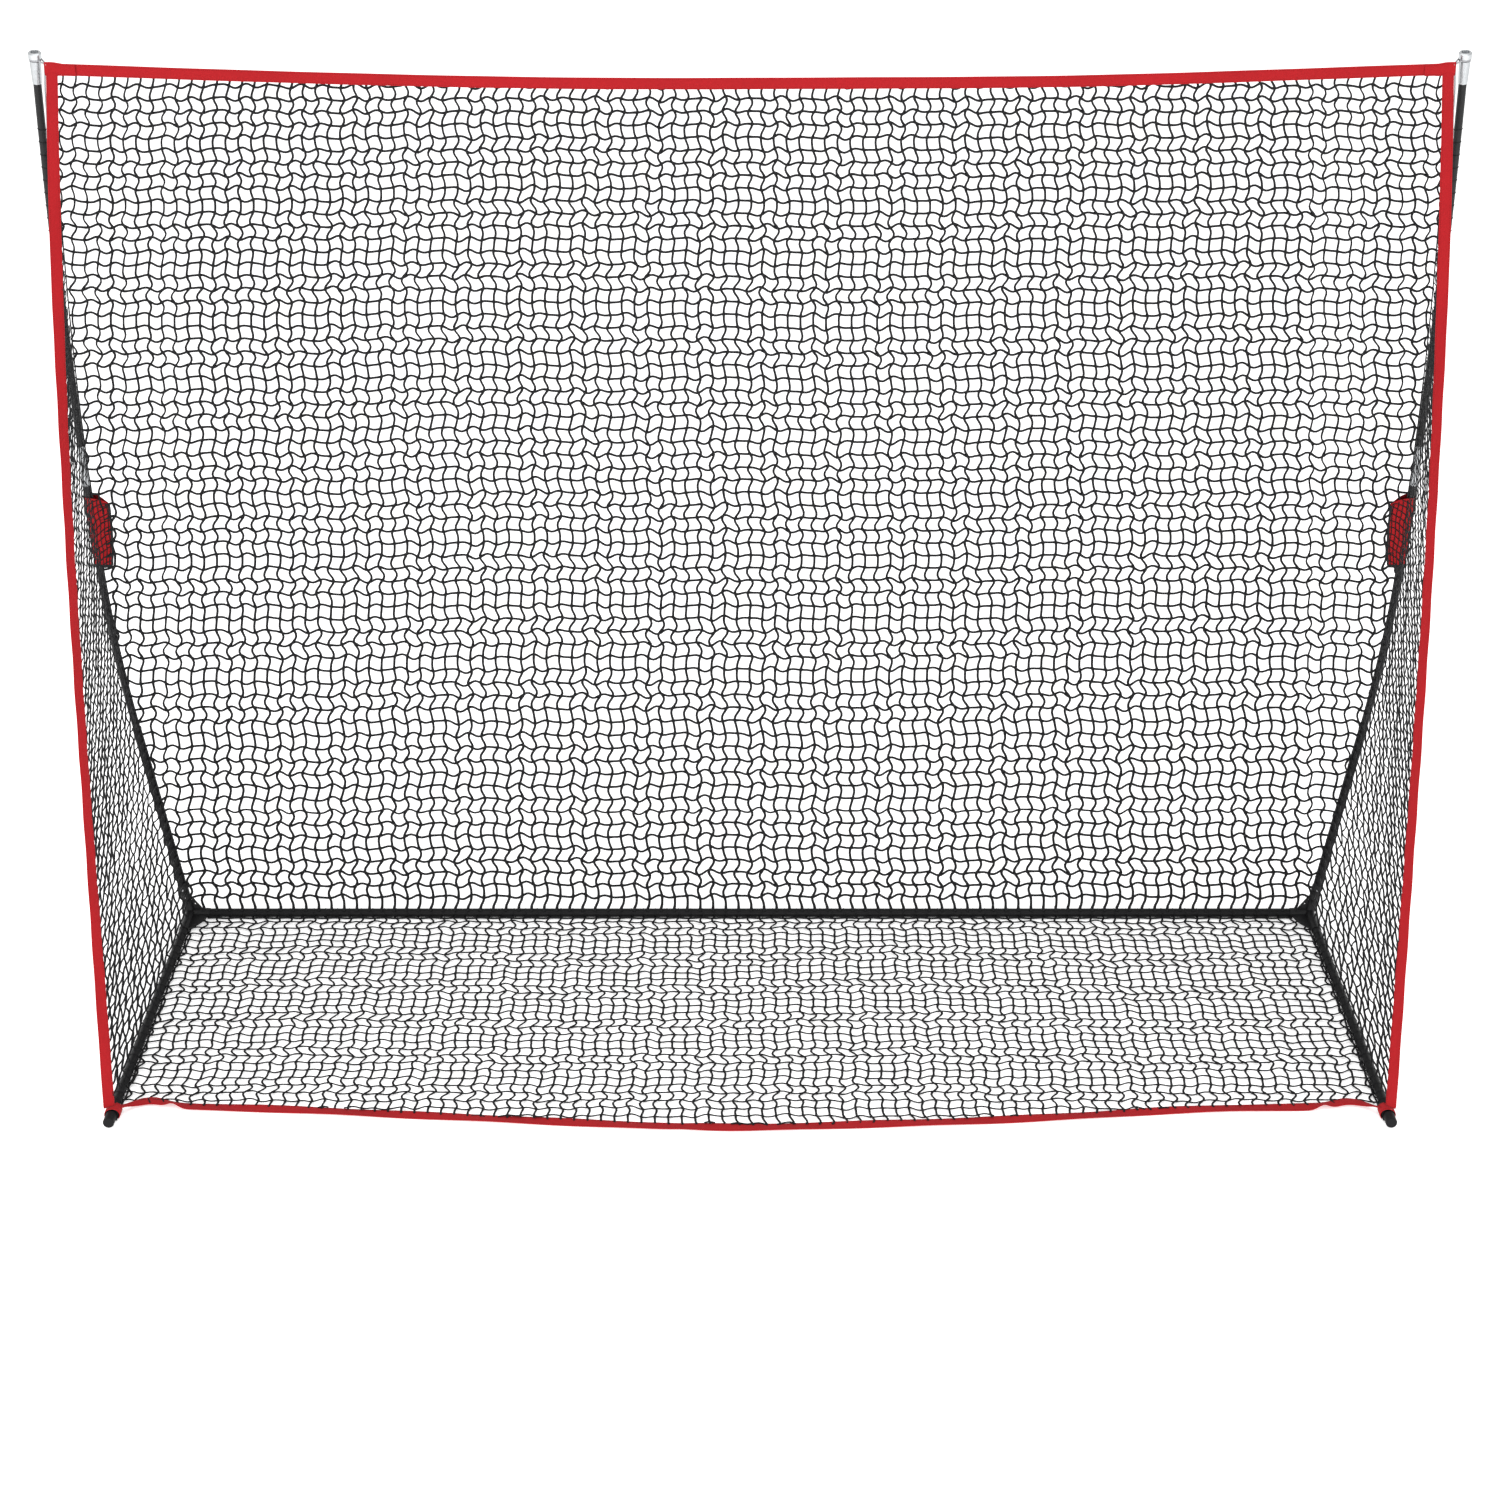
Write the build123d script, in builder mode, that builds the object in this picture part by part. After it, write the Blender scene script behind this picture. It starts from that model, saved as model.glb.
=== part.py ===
from build123d import *
from math import acos, atan2, cos, radians, sin, tan
import os

os.makedirs("parts", exist_ok=True)

# A bow-pole practice net. +X is to the right, +Y to the back, +Z up, in millimetres.
# The origin is on the ground, in the middle of the space that the net takes up.

# Base frame: a U of round tube that lies on the ground and is open to the front.
base_half_width = 1417.0  # middle of the net to a side bar's axis
base_depth = 920.0  # front face of an end cap to the rear bar's axis
tube_diameter = 22.0
tube_wall = 1.2
axis_height = 12.5  # tube axes above the ground
rear_joint_offset = 506.0  # middle of the net to a joint between an inner and an outer section
spigot_length = 60.0
slip_gap = 0.15  # radial gap of one tube in another, or of a tube in a socket
end_gap = 0.5  # gap between two tube ends that meet

# Corner connectors: a hub with three sockets and two webs, on a round foot.
socket_wall = 1.35
rear_socket_length = 50.0
side_socket_length = 90.0
upright_socket_length = 74.0
tube_setback = 17.0  # corner to the end of a bar in its socket
upright_setback = 30.0
hub_radius = 12.4
web_thickness = 4.5
web_reach = 88.0  # floor web, along the side bar
web_bulge = 9.0
brace_reach = 70.0  # upright web, along the upright
brace_foot = 34.0  # upright web, along the rear bar
brace_hole_diameter = 3.4
foot_diameter = 38.0
foot_height = 3.0
rivet_head_diameter = 5.6
rivet_head_height = 1.6
rivet_shank_diameter = 3.4
rivet_spacing = 20.0

# Bow poles: a straight upright tube, then a pole that bends inward and forward.
lean_out = 13.78
lean_back = 12.20
bend_heading = 53.96  # bend direction, from inward towards forward
upright_run = 490.0
elbow_run = 450.0
elbow_radius = 1200.0
bow_run = 1310.0
bow_radius = 7435.0
pole_diameter = 18.0
pole_wall = 3.0
pole_insert = 130.0  # length of the pole inside the upright tube
bushing_wall = 0.5  # between the pole and the bore of the upright tube
bushing_lip_height = 7.0
bushing_lip_wall = 0.9
bushing_depth = 45.0
collar_start = 1126.0
collar_length = 27.0
collar_wall = 1.1
ferrule_length = 106.0
ferrule_wall = 1.25
pole_gap = 4.0  # between the two poles' ends inside the ferrule

# Tip: a tapered aluminium ferrule with a neck, and a flanged cap plugged into it.
tip_length = 73.0
tip_wall = 1.15  # at the foot of the tip ferrule
tip_flare = 2.4  # how far the head of the ferrule stands out past its foot
neck_rise = 0.6  # how far the neck stands out past the foot
neck_height = 5.0
cap_overhang = 1.7  # how far the cap stands out past the head of the ferrule
cap_height = 15.0
cap_recess_diameter = 17.0
cap_recess_depth = 6.0
cap_plug_diameter = 15.0
cap_plug_length = 16.0

# Front end caps and the loops behind them.
end_cap_length = 30.0
end_cap_wall = 1.35
end_cap_floor = 4.0
loop_width = 20.0
loop_thickness = 1.2

# Snap buttons in the bar ends, each on a V spring.
button_diameter = 6.5
button_proud = 2.0  # above the socket
button_travel = 3.6
button_flange_diameter = 9.0
button_flange = 1.0
button_inset = 14.0  # button axis to the socket's mouth
button_hole_gap = 0.25
spring_width = 8.0
spring_thickness = 0.8
spring_length = 34.0

# Net bag: four mesh panels, as thin sheets, bound with webbing.
sheet_thickness = 1.5
tape_width = 26.0
tape_thickness = 1.6
seam_clearance = 0.5  # upright's socket to the net's seam, inward and forward
corner_gap_side = 40.0  # pole axis to the net's top corner, inward
corner_gap_front = 20.0  # pole axis to the net's top corner, forward
corner_height = 2175.0  # middle of the tapes at the top corner
top_sag = 32.0
tape_foot_outset = 3.0  # side bar axis to the foot of the side tape, outward
tape_foot_back = 42.0  # end cap face to the foot of the side tape
tape_foot_height = 34.0
tape_bulge = 15.0
tape_turn = 42.0  # how far the side tape is turned, in its middle
sheet_clearance = 3.0  # between a panel and what it hangs beside
hem_front = 14.0  # how far the hem reaches in front of the end caps
hem_bow = 78.0  # how far the hem's ends lie behind its middle
hem_half_width = 1372.0

# Pouches that hold the net to the poles, and elastic loops at the tips.
pouch_start = 938.0
pouch_length = 188.0
pouch_reach = 44.0
pouch_flap_thickness = 7.0
pouch_wall = 2.0
pouch_corner_radius = 24.0
pouch_gap = 1.7
elastic_diameter = 3.6

tube_radius = tube_diameter / 2
tube_bore = tube_radius - tube_wall
pole_radius = pole_diameter / 2
socket_radius = tube_radius + slip_gap + socket_wall
upright_bore = pole_radius + 2 * slip_gap + bushing_wall
upright_radius = upright_bore + tube_wall
upright_socket_radius = upright_radius + slip_gap + socket_wall
tip_base_radius = pole_radius + slip_gap + 0.1 + tip_wall
tip_top_radius = tip_base_radius + tip_flare
neck_radius = tip_base_radius + neck_rise
cap_radius = tip_top_radius + cap_overhang
seam_gap = upright_socket_radius + seam_clearance
bow_length = upright_run + elbow_run + bow_run
SIDES = ((1, "right"), (-1, "left"))


def bow_local(run):
    """Place and heading of the bow after a run along it, in its own plane."""
    across, along, heading = 0.0, 0.0, 0.0
    for length, radius in ((upright_run, None), (elbow_run, elbow_radius), (bow_run, bow_radius)):
        step = min(max(run, 0.0), length)
        run -= length
        if radius is None:
            across += step * sin(heading)
            along += step * cos(heading)
        else:
            turned = heading + step / radius
            across += radius * (cos(heading) - cos(turned))
            along += radius * (sin(turned) - sin(heading))
            heading = turned
    return across, along, heading


def bow_directions(side):
    """The bow's first direction and the direction that it bends towards."""
    start = Vector(side * tan(radians(lean_out)), tan(radians(lean_back)), 1).normalized()
    outward = Vector(0, side, 0).cross(start).normalized()
    backward = start.cross(outward) * side
    heading = radians(bend_heading)
    bend = outward * -cos(heading) + backward * -sin(heading)
    return start, bend


def bow_offset(side, run):
    """Place of the bow's axis after a run along it, measured from the rear corner."""
    start, bend = bow_directions(side)
    across, along, heading = bow_local(run)
    return bend * across + start * along


# The rear bar's place in Y centres the whole net, from the hem to the back of the bows.
back_bulge = max(bow_offset(1, bow_length * i / 200).Y for i in range(201)) + pole_radius
total_depth = hem_front + base_depth + back_bulge
rear_y = total_depth / 2 - back_bulge
front_y = rear_y - base_depth


def corner(side):
    return Vector(side * base_half_width, rear_y, axis_height)


def bow_point(side, run):
    return corner(side) + bow_offset(side, run)


def bow_tangent(side, run):
    start, bend = bow_directions(side)
    heading = bow_local(run)[2]
    return start * cos(heading) + bend * sin(heading)


def bow_plane(side, run):
    """A plane across the bow, whose X points inward."""
    return Plane(origin=bow_point(side, run), x_dir=(-side, 0, 0), z_dir=bow_tangent(side, run))


def bow_run_at(height):
    """How far along the bow its axis reaches a height."""
    low, high = 0.0, bow_length
    for _ in range(40):
        middle = (low + high) / 2
        if bow_point(1, middle).Z < height:
            low = middle
        else:
            high = middle
    return low


def bow_tube(side, start, end, outer, inner):
    """A round tube along the bow, made of its straight run and its arcs."""
    joints = [0.0, upright_run, upright_run + elbow_run, bow_length]
    stops = [start] + [joint for joint in joints if start < joint < end] + [end]
    with BuildPart() as tube:
        with BuildLine() as path:
            for first, last in zip(stops, stops[1:]):
                if last <= upright_run:
                    Line(bow_point(side, first), bow_point(side, last))
                else:
                    middle = bow_point(side, (first + last) / 2)
                    ThreePointArc(bow_point(side, first), middle, bow_point(side, last))
        with BuildSketch(bow_plane(side, start)):
            Circle(outer)
            if inner:
                Circle(inner, mode=Mode.SUBTRACT)
        sweep(path=path.line)
    return tube


def save(piece, name):
    piece.part.label = name
    export_step(piece.part, f"parts/{name}.step")


# ---- Rear bar: four sections, the inner ones joined to their neighbours by reduced spigots ----
def bar_section(start, end, spigots=(), hole=None):
    """A tube along X from start to end, with spigots at the named ends and a button hole."""
    low, high = min(start, end), max(start, end)
    with BuildPart() as bar:
        with BuildSketch(Plane(origin=(low, rear_y, axis_height), x_dir=(0, 1, 0), z_dir=(1, 0, 0))):
            Circle(tube_radius)
            Circle(tube_bore, mode=Mode.SUBTRACT)
        extrude(amount=high - low)
        for root in spigots:
            outward = 1 if root == high else -1
            root_plane = Plane(
                origin=(root - outward * 3, rear_y, axis_height), x_dir=(0, 1, 0), z_dir=(outward, 0, 0)
            )
            with BuildSketch(root_plane):
                Circle(tube_bore)
                Circle(tube_bore - slip_gap - tube_wall, mode=Mode.SUBTRACT)
            extrude(amount=3)
            with BuildSketch(root_plane.offset(3)):
                Circle(tube_bore - slip_gap)
                Circle(tube_bore - slip_gap - tube_wall, mode=Mode.SUBTRACT)
            extrude(amount=spigot_length)
        if hole is not None:
            with BuildSketch(hole):
                Circle(button_diameter / 2 + button_hole_gap)
            extrude(amount=tube_diameter, mode=Mode.SUBTRACT)
    return bar


def rear_button_plane(side):
    """The rear bar's snap button points back; the plane's X runs along the bar, to the middle."""
    x = side * (base_half_width - rear_socket_length + button_inset)
    return Plane(origin=(x, rear_y, axis_height), x_dir=(-side, 0, 0), z_dir=(0, 1, 0))


def side_button_plane(side):
    """A side bar's snap button points outward; the plane's X runs along the bar, to the front."""
    y = rear_y - side_socket_length + button_inset
    return Plane(origin=(side * base_half_width, y, axis_height), x_dir=(0, -1, 0), z_dir=(side, 0, 0))


for side, word in SIDES:
    joint_x = side * (rear_joint_offset + end_gap / 2)
    outer = bar_section(side * (base_half_width - tube_setback), joint_x, hole=rear_button_plane(side))
    save(outer, f"rear_bar_outer_{word}")

inner_start = end_gap / 2
inner_end = rear_joint_offset - end_gap / 2
save(bar_section(inner_start, inner_end, (inner_end,)), "rear_bar_inner_right")
save(bar_section(-inner_end, -inner_start, (-inner_end, -inner_start)), "rear_bar_inner_left")

# ---- Side bars ----
for side, word in SIDES:
    rear_end = rear_y - tube_setback
    front_end = front_y + end_cap_floor + end_gap
    with BuildPart() as side_bar:
        with BuildSketch(
            Plane(origin=(side * base_half_width, rear_end, axis_height), z_dir=(0, -1, 0))
        ):
            Circle(tube_radius)
            Circle(tube_bore, mode=Mode.SUBTRACT)
        extrude(amount=rear_end - front_end)
        with BuildSketch(side_button_plane(side)):
            Circle(button_diameter / 2 + button_hole_gap)
        extrude(amount=tube_diameter, mode=Mode.SUBTRACT)
    save(side_bar, f"side_bar_{word}")

# ---- Corner connectors ----
def rivet_plane(side, k):
    """Plane across the kth rivet of an upright's socket: it points forward, square to the tube."""
    start = bow_directions(side)[0]
    forward = start.cross(Vector(1, 0, 0)).normalized()
    if forward.Y > 0:
        forward = forward * -1
    run = upright_socket_length - 10 - k * rivet_spacing
    return Plane(origin=corner(side) + start * run, x_dir=start, z_dir=forward)


for side, word in SIDES:
    hub = corner(side)
    start, bend = bow_directions(side)
    rear_plane = Plane(origin=hub, x_dir=(0, 1, 0), z_dir=(-side, 0, 0))
    side_plane = Plane(origin=hub, x_dir=(1, 0, 0), z_dir=(0, -1, 0))
    upright_plane = Plane(origin=hub, x_dir=(-side, 0, 0), z_dir=start)
    brace_normal = Vector(-side, 0, 0).cross(start).normalized()
    brace_plane = Plane(origin=hub, x_dir=(-side, 0, 0), z_dir=brace_normal)
    brace_up = brace_plane.to_local_coords(hub + start * brace_reach)
    brace_side = -1 if brace_up.Y < 0 else 1
    sockets = (
        (rear_plane, rear_socket_length, tube_setback, tube_radius),
        (side_plane, side_socket_length, tube_setback, tube_radius),
        (upright_plane, upright_socket_length, upright_setback, upright_radius),
    )
    with BuildPart() as connector:
        with BuildSketch(Plane(origin=hub)) as ball_plan:
            Circle(hub_radius)
        extrude(amount=hub_radius)
        extrude(to_extrude=ball_plan.sketch, amount=-hub_radius)
        for plane, length, setback, held_radius in sockets:
            with BuildSketch(plane):
                Circle(held_radius + slip_gap + socket_wall)
            extrude(amount=length)
        # Floor web between the two bar sockets, with a bulging free edge.
        with BuildSketch(Plane(origin=hub - Vector(0, 0, web_thickness / 2))):
            with BuildLine():
                rear_tip = (-side * (rear_socket_length - 2), 0)
                front_tip = (0, -web_reach)
                bulge_point = (
                    -side * ((rear_socket_length - 2) / 2 + web_bulge),
                    -web_reach / 2 - web_bulge,
                )
                Line((0, 0), rear_tip)
                ThreePointArc(rear_tip, bulge_point, front_tip)
                Line(front_tip, (0, 0))
            make_face()
        extrude(amount=web_thickness)
        # Brace web between the upright's socket and the rear bar's socket.
        with BuildSketch(brace_plane.offset(-web_thickness / 2)):
            with BuildLine():
                Polyline(
                    (0, 0),
                    (brace_foot, 0),
                    (brace_foot, brace_side * tube_radius * 0.8),
                    (brace_up.X, brace_up.Y),
                    close=True,
                )
            make_face()
            with Locations(
                (brace_up.X * 0.55 + 13, brace_up.Y * 0.53),
                (brace_up.X * 0.36 + 19, brace_up.Y * 0.36),
            ):
                Circle(brace_hole_diameter / 2, mode=Mode.SUBTRACT)
        extrude(amount=web_thickness)
        # Foot: a round pad on the ground.
        with BuildSketch(Plane(origin=(hub.X, hub.Y, 0))):
            Circle(foot_diameter / 2)
        extrude(amount=foot_height)
        with BuildSketch(Plane(origin=(hub.X, hub.Y, 0))):
            Circle(hub_radius)
        extrude(amount=axis_height)
        # Bores.
        for plane, length, setback, held_radius in sockets:
            with BuildSketch(plane.offset(setback - end_gap)):
                Circle(held_radius + slip_gap)
            extrude(amount=brace_reach + web_reach, mode=Mode.SUBTRACT)
        for plane in (rear_button_plane(side), side_button_plane(side)):
            with BuildSketch(plane):
                Circle(button_diameter / 2 + button_hole_gap)
            extrude(amount=socket_radius + 1, mode=Mode.SUBTRACT)
    # The socket bores leave slices of the webs past the socket mouths; the largest solid is the hub.
    with BuildPart() as shell:
        add(connector.part.solids().sort_by(SortBy.VOLUME)[-1])
        # Rivet holes through the front of the upright's socket.
        for k in (0, 1):
            with BuildSketch(rivet_plane(side, k)):
                Circle(rivet_shank_diameter / 2)
            extrude(amount=upright_socket_radius * 2, mode=Mode.SUBTRACT)
    save(shell, f"corner_connector_{word}")

# ---- Rivets that hold each upright tube in its socket ----
for side, word in SIDES:
    with BuildPart() as rivets:
        for k in (0, 1):
            face = rivet_plane(side, k)
            reach = upright_socket_radius + 0.05
            with BuildSketch(face.offset(reach)):
                Circle(rivet_head_diameter / 2)
            extrude(amount=rivet_head_height)
            with BuildSketch(face.offset(upright_radius + slip_gap + 0.6)):
                Circle(rivet_shank_diameter / 2 - 0.1)
            extrude(amount=reach - upright_radius)
        head_tops = rivets.faces().filter_by(GeomType.PLANE).sort_by(SortBy.AREA)[-2:]
        fillet(head_tops.edges(), rivet_head_height * 0.6)
    save(rivets, f"connector_rivets_{word}")

# ---- Uprights, bushings and poles ----
upright_top = upright_run
bushing_radius = upright_radius + bushing_lip_wall
pole_bottom = upright_run - pole_insert
ferrule_start = collar_start + collar_length + end_gap
ferrule_end = ferrule_start + ferrule_length
pole_meeting = (ferrule_start + ferrule_end) / 2
tip_start = bow_length - tip_length

for side, word in SIDES:
    save(bow_tube(side, upright_setback, upright_top, upright_radius, upright_bore), f"upright_tube_{word}")

    with BuildPart() as bushing:
        seat = bow_plane(side, upright_top - bushing_depth)
        with BuildSketch(seat):
            Circle(upright_bore - slip_gap)
            Circle(pole_radius + slip_gap, mode=Mode.SUBTRACT)
        extrude(amount=bushing_depth + end_gap)
        with BuildSketch(seat.offset(bushing_depth + end_gap)):
            Circle(bushing_radius)
            Circle(pole_radius + slip_gap, mode=Mode.SUBTRACT)
        extrude(amount=bushing_lip_height)
        lip = bushing.faces().sort_by(Axis.Z)[-1]
        fillet(lip.edges().sort_by(SortBy.LENGTH)[-1], bushing_lip_wall * 0.6)
    save(bushing, f"upright_bushing_{word}")

    lower = bow_tube(side, pole_bottom, pole_meeting - pole_gap / 2, pole_radius, pole_radius - pole_wall)
    save(lower, f"lower_pole_{word}")
    collar_radius = pole_radius + slip_gap + collar_wall
    collar = bow_tube(
        side, collar_start, collar_start + collar_length, collar_radius, pole_radius + slip_gap
    )
    save(collar, f"pole_collar_{word}")
    ferrule_radius = pole_radius + slip_gap + ferrule_wall
    ferrule = bow_tube(side, ferrule_start, ferrule_end, ferrule_radius, pole_radius + slip_gap)
    save(ferrule, f"mid_ferrule_{word}")
    upper_end = bow_length - cap_height - cap_plug_length - 2 * end_gap
    upper = bow_tube(
        side, pole_meeting + pole_gap / 2, upper_end, pole_radius, pole_radius - pole_wall
    )
    save(upper, f"upper_pole_{word}")

# ---- Tips ----
for side, word in SIDES:
    base = bow_plane(side, tip_start + (tip_length - cap_height) / 2)
    section = Plane(origin=base.origin, x_dir=base.x_dir, z_dir=base.y_dir * -1)
    low = -(tip_length - cap_height) / 2
    neck_top = -low
    neck_low = neck_top - neck_height
    with BuildPart() as tip:
        with BuildSketch(section):
            with BuildLine():
                Polyline(
                    (pole_radius + slip_gap + 0.1, low),
                    (tip_base_radius, low),
                    (tip_top_radius, neck_low),
                    (neck_radius, neck_low + 1.2),
                    (neck_radius, neck_top),
                    (pole_radius + slip_gap + 0.1, neck_top),
                    close=True,
                )
            make_face()
        revolve(axis=Axis(section.origin, base.z_dir))
    save(tip, f"tip_ferrule_{word}")

    cap_low = neck_top + 0.1
    cap_top = cap_low + cap_height - 0.1
    with BuildPart() as cap:
        with BuildSketch(section):
            with BuildLine():
                Polyline(
                    (0, cap_low - cap_plug_length),
                    (cap_plug_diameter / 2, cap_low - cap_plug_length),
                    (cap_plug_diameter / 2, cap_low),
                    (cap_radius - 1.5, cap_low),
                    (cap_radius, cap_low + 1.5),
                    (cap_radius, cap_top - 2.5),
                    (cap_radius - 2.5, cap_top),
                    (cap_recess_diameter / 2, cap_top),
                    (cap_recess_diameter / 2 - 1, cap_top - cap_recess_depth),
                    (0, cap_top - cap_recess_depth),
                    close=True,
                )
            make_face()
        revolve(axis=Axis(section.origin, base.z_dir))
    save(cap, f"tip_cap_{word}")

# ---- Front end caps and the black loops behind them ----
for side, word in SIDES:
    cap_plane = Plane(origin=(side * base_half_width, front_y, axis_height), z_dir=(0, 1, 0))
    cap_bore = tube_radius + slip_gap
    with BuildPart() as end_cap:
        with BuildSketch(cap_plane):
            Circle(cap_bore + end_cap_wall)
        extrude(amount=end_cap_length)
        with BuildSketch(cap_plane.offset(end_cap_floor)):
            Circle(cap_bore)
        extrude(amount=end_cap_length, mode=Mode.SUBTRACT)
        front_rim = end_cap.faces().sort_by(Axis.Y)[0].edges()
        fillet(front_rim, 3.0)
    save(end_cap, f"front_end_cap_{word}")

    loop_start = end_cap_length + 2 * end_gap
    with BuildPart() as loop:
        with BuildSketch(cap_plane.offset(loop_start)):
            Circle(cap_bore + loop_thickness)
            Circle(cap_bore, mode=Mode.SUBTRACT)
        extrude(amount=loop_width)
    save(loop, f"bottom_loop_{word}")

# ---- Snap buttons and their V springs ----
flange_top = tube_bore - 1.2
for plane_of, bar_word in ((rear_button_plane, "rear"), (side_button_plane, "side")):
    for side, word in SIDES:
        seat = plane_of(side)
        with BuildPart() as button:
            with BuildSketch(seat.offset(flange_top - button_flange)):
                Circle(button_flange_diameter / 2)
            extrude(amount=button_flange)
            with BuildSketch(seat.offset(flange_top)):
                Circle(button_diameter / 2)
            extrude(amount=socket_radius + button_proud - flange_top)
            crown = button.faces().sort_by(Axis(seat.origin, seat.z_dir))[-1]
            fillet(crown.edges(), button_diameter / 2 - 0.6)
        save(button, f"{bar_word}_snap_button_{word}")

        # A folded strip: the lower leg lies near the tube's wall, the upper leg carries the button.
        strip_top = flange_top - button_flange - 0.1
        strip_low = -tube_bore + 1.6
        fold = (strip_top + strip_low) / 2
        leaf_plane = Plane(
            origin=seat.origin - seat.x_dir * (spring_width / 2),
            x_dir=seat.x_dir,
            z_dir=seat.x_dir.cross(seat.z_dir),
        )
        with BuildPart() as spring:
            with BuildSketch(leaf_plane):
                with BuildLine():
                    Polyline(
                        (0, strip_top),
                        (spring_width, strip_top),
                        (spring_length, fold + 1.2),
                        (spring_length, fold - 1.2),
                        (spring_width, strip_low),
                        (0, strip_low),
                        (0, strip_low + spring_thickness),
                        (spring_width - 0.5, strip_low + spring_thickness),
                        (spring_length - spring_thickness, fold - 0.6),
                        (spring_length - spring_thickness, fold + 0.6),
                        (spring_width - 0.5, strip_top - spring_thickness),
                        (0, strip_top - spring_thickness),
                        close=True,
                    )
                make_face()
            extrude(amount=spring_width / 2, both=True)
        save(spring, f"{bar_word}_button_spring_{word}")


# ---- Net bag ----
def share(height):
    """0 at the ground and 1 at the top corner."""
    return min(max((height - tape_foot_height) / (corner_height - tape_foot_height), 0.0), 1.0)


def seam_point(height):
    """Right-hand seam of the back panel with a side panel, at a height."""
    axis = bow_point(1, bow_run_at(height))
    pull = max(share(height) - 0.5, 0.0) * 2
    inward = seam_gap + (corner_gap_side - seam_gap) * pull
    forward = seam_gap + (corner_gap_front - seam_gap) * pull
    return Vector(axis.X - inward, axis.Y - forward, height)


def tape_point(height):
    """Middle of the right-hand side tape at a height: nearly a straight line, bulging outward."""
    foot = Vector(base_half_width + tape_foot_outset, front_y + tape_foot_back, tape_foot_height)
    top = seam_point(corner_height)
    part = share(height)
    place = foot + (top - foot) * part
    bulge = tape_bulge * 6.75 * part * part * (1 - part)
    return Vector(place.X + bulge, place.Y, height)


def tape_direction(height):
    """Direction across the tape, from its outer to its inner edge."""
    turn = radians(tape_turn) * min(1.0, 2.2 * (1 - share(height)))
    return Vector(-cos(turn), sin(turn), 0)


def strip(height, start, end, thickness):
    """A thin level rectangle from start to end, for one section of a sheet."""
    along = end - start
    across = Vector(0, 0, 1).cross(along).normalized() * (thickness / 2)
    corners = (start - across, end - across, end + across, start + across)
    with BuildSketch(Plane.XY.offset(height)) as section:
        with BuildLine():
            Polyline(*[(p.X, p.Y) for p in corners], close=True)
        make_face()
    return section


panel_foot = 2 * axis_height + sheet_clearance + 1
tape_half = tape_width / 2
panel_top = corner_height - top_sag - tape_half - sheet_clearance
panel_heights = [panel_foot, 130.0, 260.0, 400.0, 520.0, 640.0, 760.0, 900.0, 1100.0, 1400.0]
panel_heights += [1700.0, 1950.0, panel_top]

# Back panel: level strips between the two seams, bowed back with the poles.
with BuildPart() as back_panel:
    for height in panel_heights:
        seam = seam_point(height)
        with BuildSketch(Plane.XY.offset(height)):
            with BuildLine():
                Polyline(
                    (-seam.X, seam.Y),
                    (seam.X, seam.Y),
                    (seam.X, seam.Y + sheet_thickness),
                    (-seam.X, seam.Y + sheet_thickness),
                    close=True,
                )
            make_face()
    loft(ruled=True)
save(back_panel, "net_back_panel")


def side_point(side, point):
    return Vector(side * point.X, point.Y, point.Z)


for side, word in SIDES:
    with BuildPart() as side_panel:
        for height in panel_heights:
            seam = seam_point(height)
            edge = tape_point(height) + tape_direction(height) * (tape_half + sheet_clearance)
            toward = (seam - edge).normalized()
            start = side_point(side, edge)
            end = side_point(side, seam - toward * sheet_clearance)
            along = (end - start).normalized()
            across = Vector(-along.Y, along.X, 0) * (sheet_thickness / 2)
            with BuildSketch(Plane.XY.offset(height)):
                with BuildLine():
                    corners = (start - across, end - across, end + across, start + across)
                    Polyline(*[(p.X, p.Y) for p in corners], close=True)
                make_face()
        loft(ruled=True)
    save(side_panel, f"net_side_panel_{word}")

    tape_heights = [tape_foot_height, 250.0, 500.0, 800.0, 1100.0, 1400.0, 1700.0, 1900.0]
    tape_heights += [2040.0, corner_height + tape_half]
    with BuildPart() as side_tape:
        for height in tape_heights:
            middle = tape_point(height)
            direction = tape_direction(height)
            start = side_point(side, middle - direction * tape_half)
            end = side_point(side, middle + direction * tape_half)
            along = (end - start).normalized()
            across = Vector(-along.Y, along.X, 0) * (tape_thickness / 2)
            with BuildSketch(Plane.XY.offset(height)):
                with BuildLine():
                    corners = (start - across, end - across, end + across, start + across)
                    Polyline(*[(p.X, p.Y) for p in corners], close=True)
                make_face()
        loft(ruled=True)
    save(side_tape, f"side_tape_{word}")

# Top tape: it hangs in a shallow curve between the side tapes.
top_corner = tape_point(corner_height)
top_end = top_corner.X - tape_half - 0.5
with BuildPart() as top_tape:
    with BuildSketch(Plane(origin=(0, top_corner.Y, 0), x_dir=(1, 0, 0), z_dir=(0, -1, 0))):
        with BuildLine():
            upper = corner_height + tape_half
            lower = corner_height - tape_half
            ThreePointArc((-top_end, upper), (0, upper - top_sag), (top_end, upper))
            Line((top_end, upper), (top_end, lower))
            ThreePointArc((top_end, lower), (0, lower - top_sag), (-top_end, lower))
            Line((-top_end, lower), (-top_end, upper))
        make_face()
    extrude(amount=tape_thickness / 2, both=True)
save(top_tape, "top_tape")

# Floor hem: webbing that lies on the ground in a shallow bow, and the floor panel behind it.
hem_middle_y = front_y - hem_front + tape_half
hem_end_y = hem_middle_y + hem_bow


def hem_arc(shift, half_width):
    """One long edge of the hem, at a shift behind its middle line."""
    middle = (0, hem_middle_y + shift)
    return (-half_width, hem_end_y + shift), middle, (half_width, hem_end_y + shift)


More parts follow.
